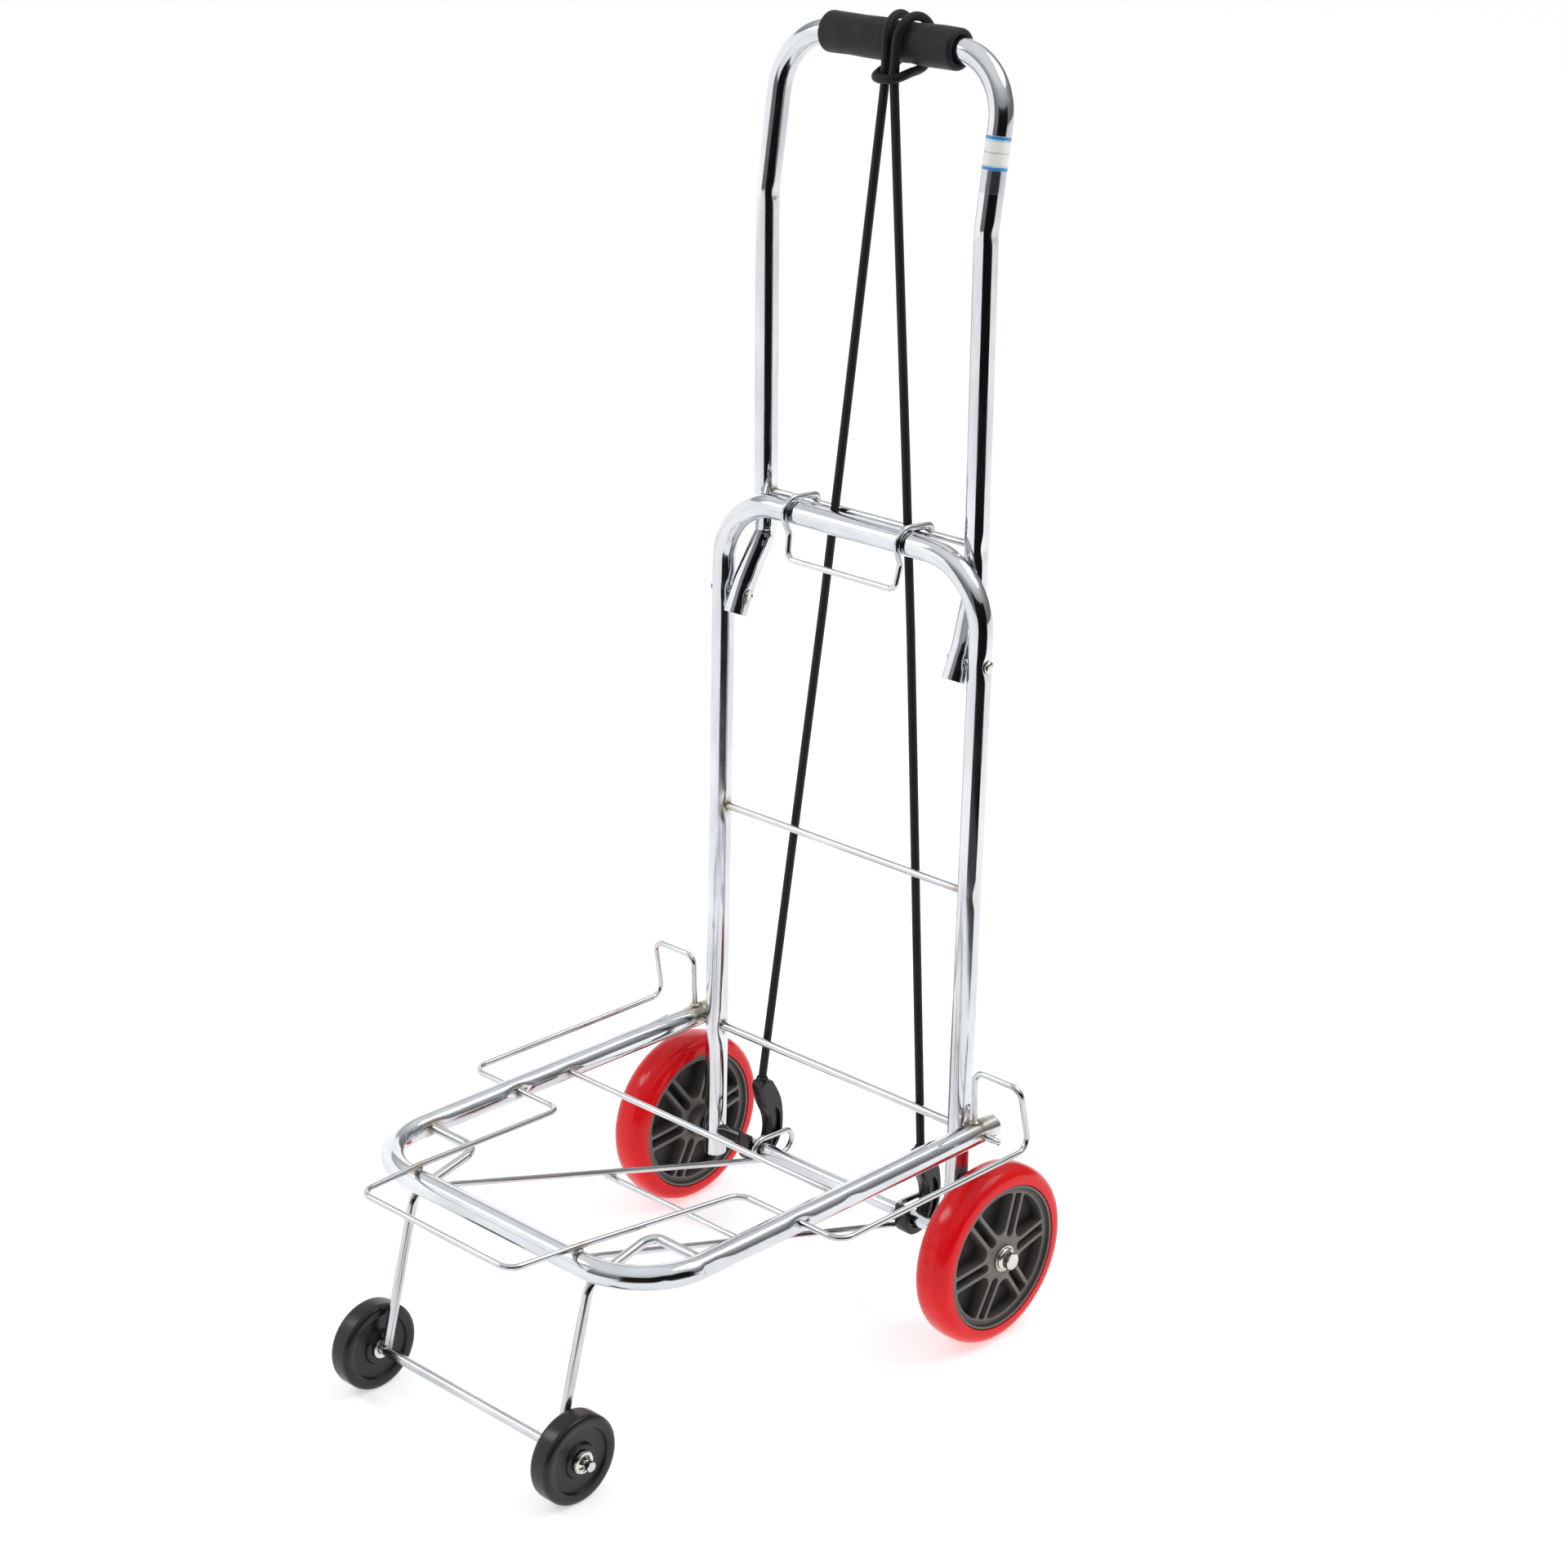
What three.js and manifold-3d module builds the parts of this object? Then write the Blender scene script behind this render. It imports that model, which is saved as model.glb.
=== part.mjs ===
// A folding luggage cart: welded tube frame with two rear wheels, a fold-up platform on two
// small front casters, a fold-down handle and an elastic cord with two hooks.
// Millimetres, +Z up, the load side faces -Y. Everything is laid out from the rear axle
// line (y = 0) and the whole group is shifted at the end so that the box is centred.
import * as THREE from "three";
import Module from "manifold-3d";

const wasm = await Module();
wasm.setup();
const { Manifold, Mesh } = wasm;
const V = (x, y, z) => new THREE.Vector3(x, y, z);
const rad = (d) => (d * Math.PI) / 180;

// ---------- helpers ----------
// A closed solid from rings of points; hollow when an inner set of rings is given.
function fromTriangles(points, tris) {
  const pos = new Float32Array(points.length * 3);
  points.forEach((p, i) => pos.set([p.x, p.y, p.z], i * 3));
  let vol = 0;
  for (const [a, b, c] of tris) {
    const A = points[a], B = points[b], C = points[c];
    vol += A.dot(B.clone().cross(C));
  }
  const t = vol < 0 ? tris.map(([a, b, c]) => [a, c, b]) : tris;
  return new Manifold(
    new Mesh({ numProp: 3, vertProperties: pos, triVerts: new Uint32Array(t.flat()) }),
  );
}

// Polyline with rounded corners: pts are [x, y, z, bend radius].
function centreline(pts, step = 22.5) {
  const P = pts.map((p) => V(p[0], p[1], p[2]));
  const out = [P[0]];
  for (let i = 1; i < P.length - 1; i++) {
    const r = pts[i][3] || 0;
    const a = P[i - 1].clone().sub(P[i]).normalize();
    const b = P[i + 1].clone().sub(P[i]).normalize();
    const turn = Math.PI - a.angleTo(b);
    if (!r || turn < 0.02) {
      out.push(P[i]);
      continue;
    }
    const t = r * Math.tan(turn / 2);
    const bis = a.clone().add(b).normalize();
    const c = P[i].clone().add(bis.multiplyScalar(r / Math.cos(turn / 2)));
    const s = P[i].clone().add(a.clone().multiplyScalar(t)).sub(c);
    const e = P[i].clone().add(b.clone().multiplyScalar(t)).sub(c);
    const axis = s.clone().cross(e).normalize();
    const n = Math.max(1, Math.ceil((turn * 180) / Math.PI / step - 0.01));
    for (let k = 0; k <= n; k++)
      out.push(c.clone().add(s.clone().applyAxisAngle(axis, (turn * k) / n)));
  }
  out.push(P[P.length - 1]);
  return out.filter((p, i) => !i || p.distanceTo(out[i - 1]) > 0.05);
}

// Carries a section along a line. section is a list of [along normal, along binormal].
function rings(line, section, normal) {
  const T = line.map((p, i) => {
    const a = i ? p.clone().sub(line[i - 1]).normalize() : null;
    const b = i < line.length - 1 ? line[i + 1].clone().sub(p).normalize() : null;
    return (a && b ? a.add(b) : a || b).normalize();
  });
  let N = normal.clone();
  return line.map((p, i) => {
    if (i) {
      const q = new THREE.Quaternion().setFromUnitVectors(T[i - 1], T[i]);
      N.applyQuaternion(q);
    }
    N.sub(T[i].clone().multiplyScalar(N.dot(T[i]))).normalize();
    const B = T[i].clone().cross(N);
    let stretch = 1, side = null;
    if (i && i < line.length - 1) {
      const a = p.clone().sub(line[i - 1]).normalize();
      const b = line[i + 1].clone().sub(p).normalize();
      const half = a.angleTo(b) / 2;
      stretch = 1 / Math.cos(half);
      side = b.sub(a);
      side = side.length() > 1e-6 ? side.normalize() : null;
    }
    return section.map(([u, v]) => {
      const d = N.clone().multiplyScalar(u).add(B.clone().multiplyScalar(v));
      if (side) d.add(side.clone().multiplyScalar(d.dot(side) * (stretch - 1)));
      return p.clone().add(d);
    });
  });
}

function polygon(r, n, half = 0.5) {
  const R = r * Math.sqrt((2 * Math.PI) / (n * Math.sin((2 * Math.PI) / n)));
  return [...Array(n)].map((_, k) => {
    const a = ((k + half) * 2 * Math.PI) / n;
    return [R * Math.cos(a), R * Math.sin(a)];
  });
}

function sweep(line, section, normal, inner = null) {
  const outer = rings(line, section, normal);
  const n = section.length, pts = outer.flat(), tris = [];
  const wall = (base, flip) => {
    for (let i = 0; i < line.length - 1; i++)
      for (let k = 0; k < n; k++) {
        const a = base + i * n + k, b = base + i * n + ((k + 1) % n);
        const c = a + n, d = b + n;
        tris.push(...(flip ? [[a, c, b], [b, c, d]] : [[a, b, c], [b, d, c]]));
      }
  };
  wall(0, false);
  const last = (line.length - 1) * n;
  if (inner) {
    const base = pts.length;
    pts.push(...rings(line, inner, normal).flat());
    wall(base, true);
    for (let k = 0; k < n; k++) {
      const a = k, b = (k + 1) % n, c = base + a, d = base + b;
      tris.push([a, c, b], [b, c, d]);
      tris.push([last + a, last + b, last + c], [last + b, last + d, last + c]);
    }
  } else {
    for (let k = 1; k < n - 1; k++) {
      tris.push([0, k + 1, k]);
      tris.push([last, last + k, last + k + 1]);
    }
  }
  return fromTriangles(pts, tris);
}

const tube = (pts, r, wall, n, normal, step) =>
  sweep(centreline(pts, step), polygon(r, n), normal, polygon(r - wall, n));
const wire = (pts, r, n, normal, step) =>
  sweep(centreline(pts, step), polygon(r, n), normal);
// A bar along X between two stations.
const barX = (x0, x1, y, z, r, n = 12) =>
  sweep([V(x0, y, z), V(x1, y, z)], polygon(r, n), V(0, 0, 1));
// Turned about a line parallel to X through (y, z): profile is a closed list of [x, r].
function turnedX(profile, y, z, n) {
  const pts = [], tris = [], m = profile.length;
  for (let k = 0; k < n; k++) {
    const a = ((k + 0.5) * 2 * Math.PI) / n;
    for (const [x, r] of profile)
      pts.push(V(x, y + r * Math.sin(a), z + r * Math.cos(a)));
  }
  for (let k = 0; k < n; k++)
    for (let i = 0; i < m; i++) {
      const a = k * m + i, b = k * m + ((i + 1) % m);
      const c = ((k + 1) % n) * m + i, d = ((k + 1) % n) * m + ((i + 1) % m);
      tris.push([a, b, c], [b, d, c]);
    }
  return fromTriangles(pts, tris);
}
const flip = (profile, s) => profile.map(([x, r]) => [s * x, r]);
const at = (profile, x0, s) => profile.map(([x, r]) => [s * (x0 + x), r]);
const box = (x0, x1, y0, y1, z0, z1) =>
  Manifold.cube([x1 - x0, y1 - y0, z1 - z0]).translate([x0, y0, z0]);
const union = (list) => list.reduce((a, b) => a.add(b));

const group = new THREE.Group();
function add(name, solid, colour) {
  const m = solid.getMesh();
  const g = new THREE.BufferGeometry();
  const p = new Float32Array(m.numVert * 3);
  for (let i = 0; i < m.numVert; i++)
    p.set(m.vertProperties.subarray(i * m.numProp, i * m.numProp + 3), i * 3);
  g.setAttribute("position", new THREE.BufferAttribute(p, 3));
  g.setIndex(new THREE.BufferAttribute(new Uint32Array(m.triVerts), 1));
  const mesh = new THREE.Mesh(
    g.toNonIndexed(),
    new THREE.MeshStandardMaterial({ color: colour, flatShading: true }),
  );
  mesh.geometry.computeVertexNormals();
  mesh.name = name;
  group.add(mesh);
}
const CHROME = 0xc8ccd0, NICKEL = 0xa8a8a4, BLACK = 0x1c1c1e, RED = 0xd01020, HUB = 0x3a3a3c;

// ---------- layout ----------
const TUBE = 9.5; // radius of the 19 mm tubes
const LEG = 134.5; // frame legs, x
const AXLE_Z = 75;
const PIVOT_Z = 173; // platform pivot rod
const CROSS_Z = 372; // upper crossbar
const RIVET_Z = 556.8; // handle pivot
const TOP_Z = 635; // frame top bar
const LATCH = { y: 21.2, z: 640 };
const PLAT = { x: 155, z: 175, front: -370, rear: 16.4, r: 60 };
const UNDER = { y: -303, z: 175 }; // caster leg pivot
const BRACE = { y: -352, z: 162.5 };
const CASTER = { x: 112.5, y: -397, r: 35.5 };
const LINK_X = 78.5;

// ---------- back frame (fixed) ----------
{
  let t = tube(
    [[-LEG, 0, 52.5], [-LEG, 0, TOP_Z, 55], [LEG, 0, TOP_Z, 55], [LEG, 0, 52.5]],
    TUBE, 1.2, 12, V(0, 1, 0), 18,
  );
  for (const s of [-1, 1]) {
    const X = (x0, x1, y, z, r, n) => (s < 0 ? barX(-x1, -x0, y, z, r, n) : barX(x0, x1, y, z, r, n));
    const bore = (z, r, n = 12, out = 14) => X(LEG - 14, LEG + out, 0, z, r, n);
    t = t.subtract(bore(AXLE_Z, 6.35));
    t = t.subtract(bore(PIVOT_Z, 3.75, 8));
    t = t.subtract(bore(CROSS_Z, 3.25, 8, 7.4)); // inner wall only
    t = t.subtract(bore(RIVET_Z, 3.25, 8));
    t = t.subtract(X(143.15, 150, 0, RIVET_Z, 5.3, 12)); // seat of the rivet's head
  }
  add("frame_tube", t, CHROME);
}
add("upper_crossbar", barX(-141.8, 141.8, 0, CROSS_Z, 3, 8), CHROME);
add("platform_pivot_rod", barX(-169, 177, 0, PIVOT_Z, 3.5, 8), CHROME);
add(
  "rear_axle",
  union([barX(-150, 150, 0, AXLE_Z, 6), barX(-193, 193, 0, AXLE_Z, 5)]),
  CHROME,
);
for (const [side, s] of [["left", -1], ["right", 1]]) {
  add(
    "handle_rivet_" + side,
    union([
      barX(s * 104.2, s * 145, 0, RIVET_Z, 3, 8),
      turnedX(at([[143.4, 0.6], [143.4, 4.9], [144, 4.9], [145, 4], [145.6, 2.2], [145.7, 0.6]], 0, s), 0, RIVET_Z, 16)
        .add(barX(s * 144.4, s * 145.7, 0, RIVET_Z, 1, 8)),
      barX(s * 104.2, s * 105.6, 0, RIVET_Z, 3.9, 12),
    ]),
    NICKEL,
  );
  add(
    "rear_washer_" + side,
    turnedX(at([[186.5, 5.4], [186.5, 10.5], [188, 10.5], [188, 5.4]], 0, s), 0, AXLE_Z, 20),
    NICKEL,
  );
  add(
    "rear_nut_" + side,
    // pushed-on cap nut: a domed skirt and a plain round end over the axle
    turnedX(
      at(
        [
          [188.3, 5.4], [188.3, 9.4], [188.9, 9.4], [190.3, 7.6], [190.7, 6.9],
          [195.6, 6.9], [196.2, 6.2], [196.2, 0.6], [193.3, 0.6], [193.3, 5.4],
        ],
        0, s,
      ),
      0, AXLE_Z, 20,
    ).add(barX(s * 193.3, s * 196.2, 0, AXLE_Z, 1, 8)),
    NICKEL,
  );
}

// ---------- rear wheels ----------
const apothem = (r, n) => r / Math.cos(Math.PI / n);
for (const [side, s] of [["left", -1], ["right", 1]]) {
  const n = 36, R = apothem(75, n);
  const half = [[2.5, R], [6.2, R - 0.8], [10.5, R - 3.6], [14.2, R - 8.2], [16.3, R - 12.6], [15.5, 60.9]];
  const profile = [...half, ...half.slice().reverse().map(([x, r]) => [-x, r])];
  add("rear_tyre_" + side, turnedX(at(profile, 170, s), 0, AXLE_Z, n), RED);
  // rim, web and boss in one turning, then six pairs of ribs
  let hub = turnedX(
    at(
      [
        [-24, 5.6], [-24, 14], [-2, 16.5], [-2, 52.5], [-15.2, 54], [-15.2, 60.3],
        [15.2, 60.3], [15.2, 54], [2, 52.5], [2, 16.5], [16, 15.5], [16, 5.6],
      ],
      170, s,
    ),
    0, AXLE_Z, 32,
  );
  for (let k = 0; k < 6; k++)
    for (const off of [-5.5, 5.5])
      for (const f of [-1, 1]) {
        const rib = box(f < 0 ? -13 : 1, f < 0 ? -1 : 13, 12, 54.4, off - 1.6, off + 1.6)
          .rotate([7.4 + 60 * k, 0, 0])
          .translate([170 * s, 0, AXLE_Z]);
        hub = hub.add(rib);
      }
  hub = hub.subtract(barX(s * 140, s * 190, 0, AXLE_Z, 5.45, 12).subtract(barX(s * 139, s * 151, 0, AXLE_Z, 9)));
  hub = hub.subtract(barX(s * 140, s * 150.6, 0, AXLE_Z, 6.5));
  add("rear_hub_" + side, hub, HUB);
}

// ---------- handle ----------
{
  const H = [
    [114.8, -6.6, 541, 0], [114.8, 4.4, 567, 60], [109.5, 21.3, 606.5, 13],
    [109.5, 15.6, 878, 40], [109.5, 32.9, 1001, 48],
  ];
  const left = H.map(([x, y, z, r]) => [-x, y, z, r]);
  let t = tube([...left, ...H.reverse()], TUBE, 1.0, 12, V(0, 1, 0), 22.5);
  for (const s of [-1, 1]) {
    t = t.subtract(barX(s * 100, s * 130, 0, RIVET_Z, 3.35, 8));
    t = t.subtract(barX(s * 100, s * 105.75, 0, RIVET_Z, 4.3)); // seat of the rivet's tail
    t = t.subtract(barX(s * 96, s * 116.8, LATCH.y, LATCH.z, 3.3, 8)); // inner wall only
  }
  add("handle_tube", t, CHROME);
}
add(
  "foam_grip",
  turnedX(
    [[-62.5, 10.3], [-62.5, 14], [-61, 15.5], [61, 15.5], [62.5, 14], [62.5, 10.3]],
    32.9, 1001, 20,
  ),
  BLACK,
);
add(
  "handle_label",
  (() => {
    // a blank sleeve round the right leg, in line with the leaning upper part
    const a = V(109.5, 15.6, 878), b = V(109.5, 32.9, 1001);
    const d = b.clone().sub(a).normalize();
    const p = (l) => a.clone().add(d.clone().multiplyScalar(l));
    return sweep([p(44), p(68.5)], polygon(10.6, 12), V(0, 1, 0), polygon(10.05, 12));
  })(),
  0xf0f0ee,
);
add("latch_rod", barX(-116.7, 116.7, LATCH.y, LATCH.z, 3, 8), CHROME);

// ---------- latch bail ----------
{
  const X = 58, side = (s) => {
    const q = [];
    for (const a of [205, 240, 275, 310, 345, 380, 415, 442])
      q.push([s * (X + 1), LATCH.y + 6 * Math.cos(rad(a)), LATCH.z + 6 * Math.sin(rad(a)), 0]);
    for (const a of [82, 108, 134, 160, 182, 205])
      q.push([s * (X + 0.5), 12.5 * Math.cos(rad(a)), TOP_Z + 12.5 * Math.sin(rad(a)), 0]);
    q.push([s * (X - 0.3), -6.4, 619.6, 5]);
    q.push([s * (X - 2), -10, 600, 7]);
    return q;
  };
  add("latch_bail", wire([...side(-1), ...side(1).reverse()], 2.5, 8, V(1, 0, 0), 30), CHROME);
}

// ---------- platform ----------
{
  let t = tube(
    [
      [-PLAT.x, PLAT.rear, PLAT.z], [-PLAT.x, PLAT.front, PLAT.z, PLAT.r],
      [PLAT.x, PLAT.front, PLAT.z, PLAT.r], [PLAT.x, PLAT.rear, PLAT.z],
    ],
    TUBE, 1.2, 12, V(0, 0, 1), 18,
  );
  for (const s of [-1, 1]) {
    const bore = (y, z, r, out = 16) => barX(s * (PLAT.x - 16), s * (PLAT.x + out), y, z, r, 8);
    t = t.subtract(bore(0, PIVOT_Z, 4));
    t = t.subtract(bore(UNDER.y, UNDER.z, 4.6, 6.5)); // inner wall only
    t = t.subtract(bore(-213, 177, 2.75));
    t = t.subtract(bore(-157, 175, 2.75, 7.5)); // inner wall only
  }
  add("platform_tube", t, CHROME);
}
add("platform_cross_wire", barX(-162.4, 162.4, -157, 175, 2.5, 8), CHROME);
{
  const R = [
    [155, -6, 184.9, 0], [155, -8, 230, 9], [201, -8, 230, 10], [203, 3, 177, 10],
    [203, -213, 177, 13], [100, -213, 177, 12], [88, -370, 187.9, 0], [82, -430, 189.5, 12],
  ];
  const left = R.map(([x, y, z, r]) => [-x, y, z, r]);
  add("rail_wire", wire([...left, ...R.reverse()], 2.5, 8, V(0, 1, 0), 30), CHROME);
}

// ---------- caster frame ----------
for (const [side, s] of [["left", -1], ["right", 1]]) {
  add(
    "caster_leg_" + side,
    wire(
      [
        [s * 161.4, UNDER.y, UNDER.z], [s * 97, UNDER.y, UNDER.z, 12],
        [s * 97, -366, 160, 14], [s * 97, CASTER.y + 1, CASTER.r + 4.7],
      ],
      4, 8, V(0, 0, 1), 20,
    ),
    CHROME,
  );
}
add("caster_brace", barX(-92.4, 92.4, BRACE.y, BRACE.z, 3, 8), CHROME);
add("front_axle", barX(-131, 131, CASTER.y, CASTER.r, 4, 8), CHROME);
for (const [side, s] of [["left", -1], ["right", 1]]) {
  const ring = (x0, x1, r0, r1, n) =>
    turnedX(at([[x0, r0], [x0, r1], [x1, r1], [x1, r0]], 0, s), CASTER.y, CASTER.r, n);
  add("caster_washer_inner_" + side, ring(101.4, 102.6, 4.5, 8, 16), NICKEL);
  add("caster_washer_outer_" + side, ring(122.8, 124, 4.5, 8.9, 16), NICKEL);
  add("caster_push_nut_" + side, ring(124.3, 126.3, 4.5, 8.5, 12), NICKEL);
  const n = 24, R = apothem(CASTER.r, n);
  add(
    "caster_wheel_" + side,
    turnedX(
      at(
        [
          [-9, 7.6], [-9, 13], [-6.5, 14], [-6.5, 25], [-9.3, 26.5], [-9.5, R - 3], [-8.3, R - 0.8], [-6, R],
          [6, R], [8.3, R - 0.8], [9.5, R - 3], [9.3, 26.5], [6.5, 25], [6.5, 14], [9, 13], [9, 7.6],
        ],
        CASTER.x, s,
      ),
      CASTER.y, CASTER.r, n,
    ),
    BLACK,
  );
  add("caster_bush_" + side, ring(CASTER.x - 9.7, CASTER.x + 9.7, 4.5, 7, 16), NICKEL);
}

// ---------- fold link: two wires, a ring on the brace, a long loose loop on the axle ----------
{
  const L = V(0, BRACE.y, BRACE.z), A = V(0, 0, AXLE_Z);
  const e = A.clone().sub(L).normalize(); // down the link
  const n = V(0, -e.z, e.y); // across it, upwards
  const tilt = rad(11); // the loop leans up from the link
  const u = e.clone().multiplyScalar(Math.cos(tilt)).add(n.clone().multiplyScalar(Math.sin(tilt)));
  const v = n.clone().multiplyScalar(Math.cos(tilt)).sub(e.clone().multiplyScalar(Math.sin(tilt)));
  const go = (c, a, x, b, y) => c.clone().add(a.clone().multiplyScalar(x)).add(b.clone().multiplyScalar(y));
  for (const [side, s] of [["left", -1], ["right", 1]]) {
    const pts = [];
    const put = (p) => pts.push([s * LINK_X, p.y, p.z, 0]);
    for (const a of [-165, -130, -95, -60, -25, 10, 45, 80]) // ring on the brace
      put(go(L, e, -6.1 * Math.cos(rad(a)), n, 6.1 * Math.sin(rad(a))));
    const w = 9.9, c = go(A, u, -0.8, v, -0.75), len = 27;
    put(go(c, u, 0, v, -w)); // under the axle
    put(go(c, u, len, v, -w));
    for (const a of [-60, -30, 0, 30, 60, 90])
      put(go(go(c, u, len, v, 0), u, w * Math.cos(rad(a)), v, w * Math.sin(rad(a))));
    for (const a of [90, 120, 150, 180, 205])
      put(go(c, u, w * Math.cos(rad(a)), v, w * Math.sin(rad(a))));
    add("link_wire_" + side, wire(pts, 2.5, 8, V(1, 0, 0), 30), CHROME);
  }
  const m = go(L, e, 184, n, -7.75);
  add("link_cross_wire", barX(-86, 86, m.y, m.z, 2.5, 8), CHROME);
}

// ---------- elastic cord and its two hooks ----------
const HOOKS = [["left", -88], ["right", 89]];
const HOOK_PROFILE = [
  // [y, z], from the cord's end down the back, under the axle and up the front
  [13.6, 132.6], [16.4, 129.5], [21.6, 121], [26, 111], [28.2, 98], [28.2, 86], [26.2, 77.5],
  [21.6, 70], [15, 65], [8, 62.3], [0, 61.4], [-7.4, 63], [-12, 67.6], [-13.7, 74.5], [-13.7, 87.5],
  [-8.7, 87.5], [-8.6, 75], [-7, 70.6], [-3, 68.1], [2, 67.6], [7.4, 69], [11.4, 72.4], [14, 77.5],
  [15.2, 84], [14.8, 91], [12.4, 100], [6, 112.5], [2.2, 126], [2.6, 130.6], [5, 132.6],
];
for (const [side, x] of HOOKS) {
  const flat = new wasm.CrossSection([HOOK_PROFILE], "NonZero").extrude(12.4);
  // the profile's axes (u, v, height) become (y, z, x)
  add(
    "hook_" + side,
    flat.transform([0, 1, 0, 0, 0, 0, 1, 0, 1, 0, 0, 0, x - 6.2, 0, 0, 1]),
    BLACK,
  );
}
{
  const C = [14, 32.9, 1001], r = 20.1; // hitch round the grip
  // from the hook up behind the bars, over the grip and down its back, then under and forward;
  // the left turn wanders further along the grip than the right one
  const strand = (s, hx, pitch, bight) => [
    [hx, 7.9, 135.6, 0], [hx, 8.5, 173, 0], [hx, 13.9, 560, 0], [hx, 13.9, 700, 0],
    [C[0] + s * 4.6, 12.8, 972, 0],
    ...[180, 150, 120, 90, 60, 30, 0, -30, -60, -85].map((a, i) => [
      C[0] + s * (4.6 + i * pitch), C[1] + r * Math.cos(rad(a)), C[2] + r * Math.sin(rad(a)), 0,
    ]),
    ...bight,
  ];
  const left = strand(-1, -88, 1.9, [[-3.6, 21, 978.6, 0], [2.6, 9.2, 976.9, 0], [9.6, 5.3, 976.4, 0]]);
  const right = strand(1, 89, 0.35, [[25.6, 21, 981, 0], [25.4, 9.8, 978.2, 0], [18.6, 5.3, 976.9, 0]]);
  const x = (p, q, z) => p + ((q - p) * (972 - z)) / (972 - 135.6); // strands run straight in x
  for (const [st, hx, s] of [[left, -88, -1], [right, 89, 1]])
    for (const i of [1, 2, 3]) st[i][0] = x(C[0] + s * 4.6, hx, st[i][2]);
  add("elastic_cord", wire([...left, ...right.reverse()], 3.5, 8, V(1, 0, 0), 30), BLACK);
}

group.position.y = 178.78;
export default group;
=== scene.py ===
"""Folding luggage cart: the detailed visual model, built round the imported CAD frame.

Lengths in this file are millimetres measured from the rear axle line (y = 0), the
layout that the CAD source uses; to_frame() turns them into metres in the row frame.
"""
import math

import bmesh
import bpy
import numpy as np
from mathutils import Matrix, Vector, geometry


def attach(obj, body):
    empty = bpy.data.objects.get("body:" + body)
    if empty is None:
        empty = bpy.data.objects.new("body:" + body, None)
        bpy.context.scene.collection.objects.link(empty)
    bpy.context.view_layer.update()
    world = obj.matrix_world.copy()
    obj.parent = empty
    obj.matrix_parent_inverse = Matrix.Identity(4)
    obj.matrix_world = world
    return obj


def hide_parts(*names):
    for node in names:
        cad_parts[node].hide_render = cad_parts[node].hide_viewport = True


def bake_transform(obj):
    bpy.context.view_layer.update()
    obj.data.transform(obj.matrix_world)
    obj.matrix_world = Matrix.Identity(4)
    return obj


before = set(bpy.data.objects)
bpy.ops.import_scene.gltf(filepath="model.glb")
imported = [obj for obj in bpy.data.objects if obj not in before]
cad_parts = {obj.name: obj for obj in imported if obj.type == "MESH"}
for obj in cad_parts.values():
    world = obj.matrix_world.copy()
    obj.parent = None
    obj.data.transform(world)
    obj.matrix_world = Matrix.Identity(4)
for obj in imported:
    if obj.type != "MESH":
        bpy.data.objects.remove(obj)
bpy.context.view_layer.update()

AXLE_Y = 178.78  # the rear axle's y in the row frame


def to_frame(points):
    return (np.asarray(points, float) + [0.0, AXLE_Y, 0.0]) / 1000.0


# ---- camera
CAM_PLACE = (1.60088, -1.60662, 1.32001)
CAM_BACK = (0.638706, -0.685247, 0.349988)  # the way from the cart towards the camera
CAM_AZIMUTH, CAM_ROLL = 42.99, 1.32
CAM_LENS, CAM_SENSOR = 74.28, 36.0


def make_camera():
    azimuth, roll = math.radians(CAM_AZIMUTH), math.radians(CAM_ROLL)
    back = Vector(CAM_BACK).normalized()
    right = Vector((math.cos(azimuth), math.sin(azimuth), 0.0))
    up = back.cross(right)
    cam_x = math.cos(roll) * right + math.sin(roll) * up
    cam_y = -math.sin(roll) * right + math.cos(roll) * up
    data = bpy.data.cameras.new("camera")
    data.sensor_width, data.lens = CAM_SENSOR, CAM_LENS
    data.clip_start, data.clip_end = 0.05, 100.0
    cam = bpy.data.objects.new("camera", data)
    bpy.context.scene.collection.objects.link(cam)
    basis = Matrix((cam_x, cam_y, back)).transposed().to_4x4()
    basis.translation = Vector(CAM_PLACE)
    cam.matrix_world = basis
    bpy.context.scene.camera = cam


make_camera()


# ---- lines and sections
def unit(v):
    v = np.asarray(v, float)
    return v / max(np.linalg.norm(v), 1e-12)


def turn(v, axis, angle):
    """v turned about a unit axis."""
    c, s = math.cos(angle), math.sin(angle)
    return v * c + np.cross(axis, v) * s + axis * np.dot(axis, v) * (1 - c)


def corner(p, before, after, radius, step=6.0, count=None):
    """The points of the arc that rounds one corner of a line, or the corner itself."""
    a, b = unit(before - p), unit(after - p)
    bend = math.pi - math.acos(np.clip(np.dot(a, b), -1, 1))
    if radius <= 0 or bend < 0.01:
        return [p]
    reach = radius * math.tan(bend / 2)
    centre = p + unit(a + b) * radius / math.cos(bend / 2)
    first = p + a * reach - centre
    axis = unit(np.cross(first, p + b * reach - centre))
    count = count or max(2, math.ceil(math.degrees(bend) / step))
    return [centre + turn(first, axis, bend * k / count) for k in range(count + 1)]


def rounded(points, step=6.0):
    """A polyline whose corners are arcs: points are (x, y, z, bend radius)."""
    pts = [np.array(p[:3], float) for p in points]
    out = [pts[0]]
    for i in range(1, len(pts) - 1):
        radius = points[i][3] if len(points[i]) > 3 else 0.0
        out += corner(pts[i], pts[i - 1], pts[i + 1], radius, step)
    out.append(pts[-1])
    keep = [out[0]]
    for p in out[1:]:
        if np.linalg.norm(p - keep[-1]) > 0.02:
            keep.append(p)
    return np.array(keep)


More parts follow.
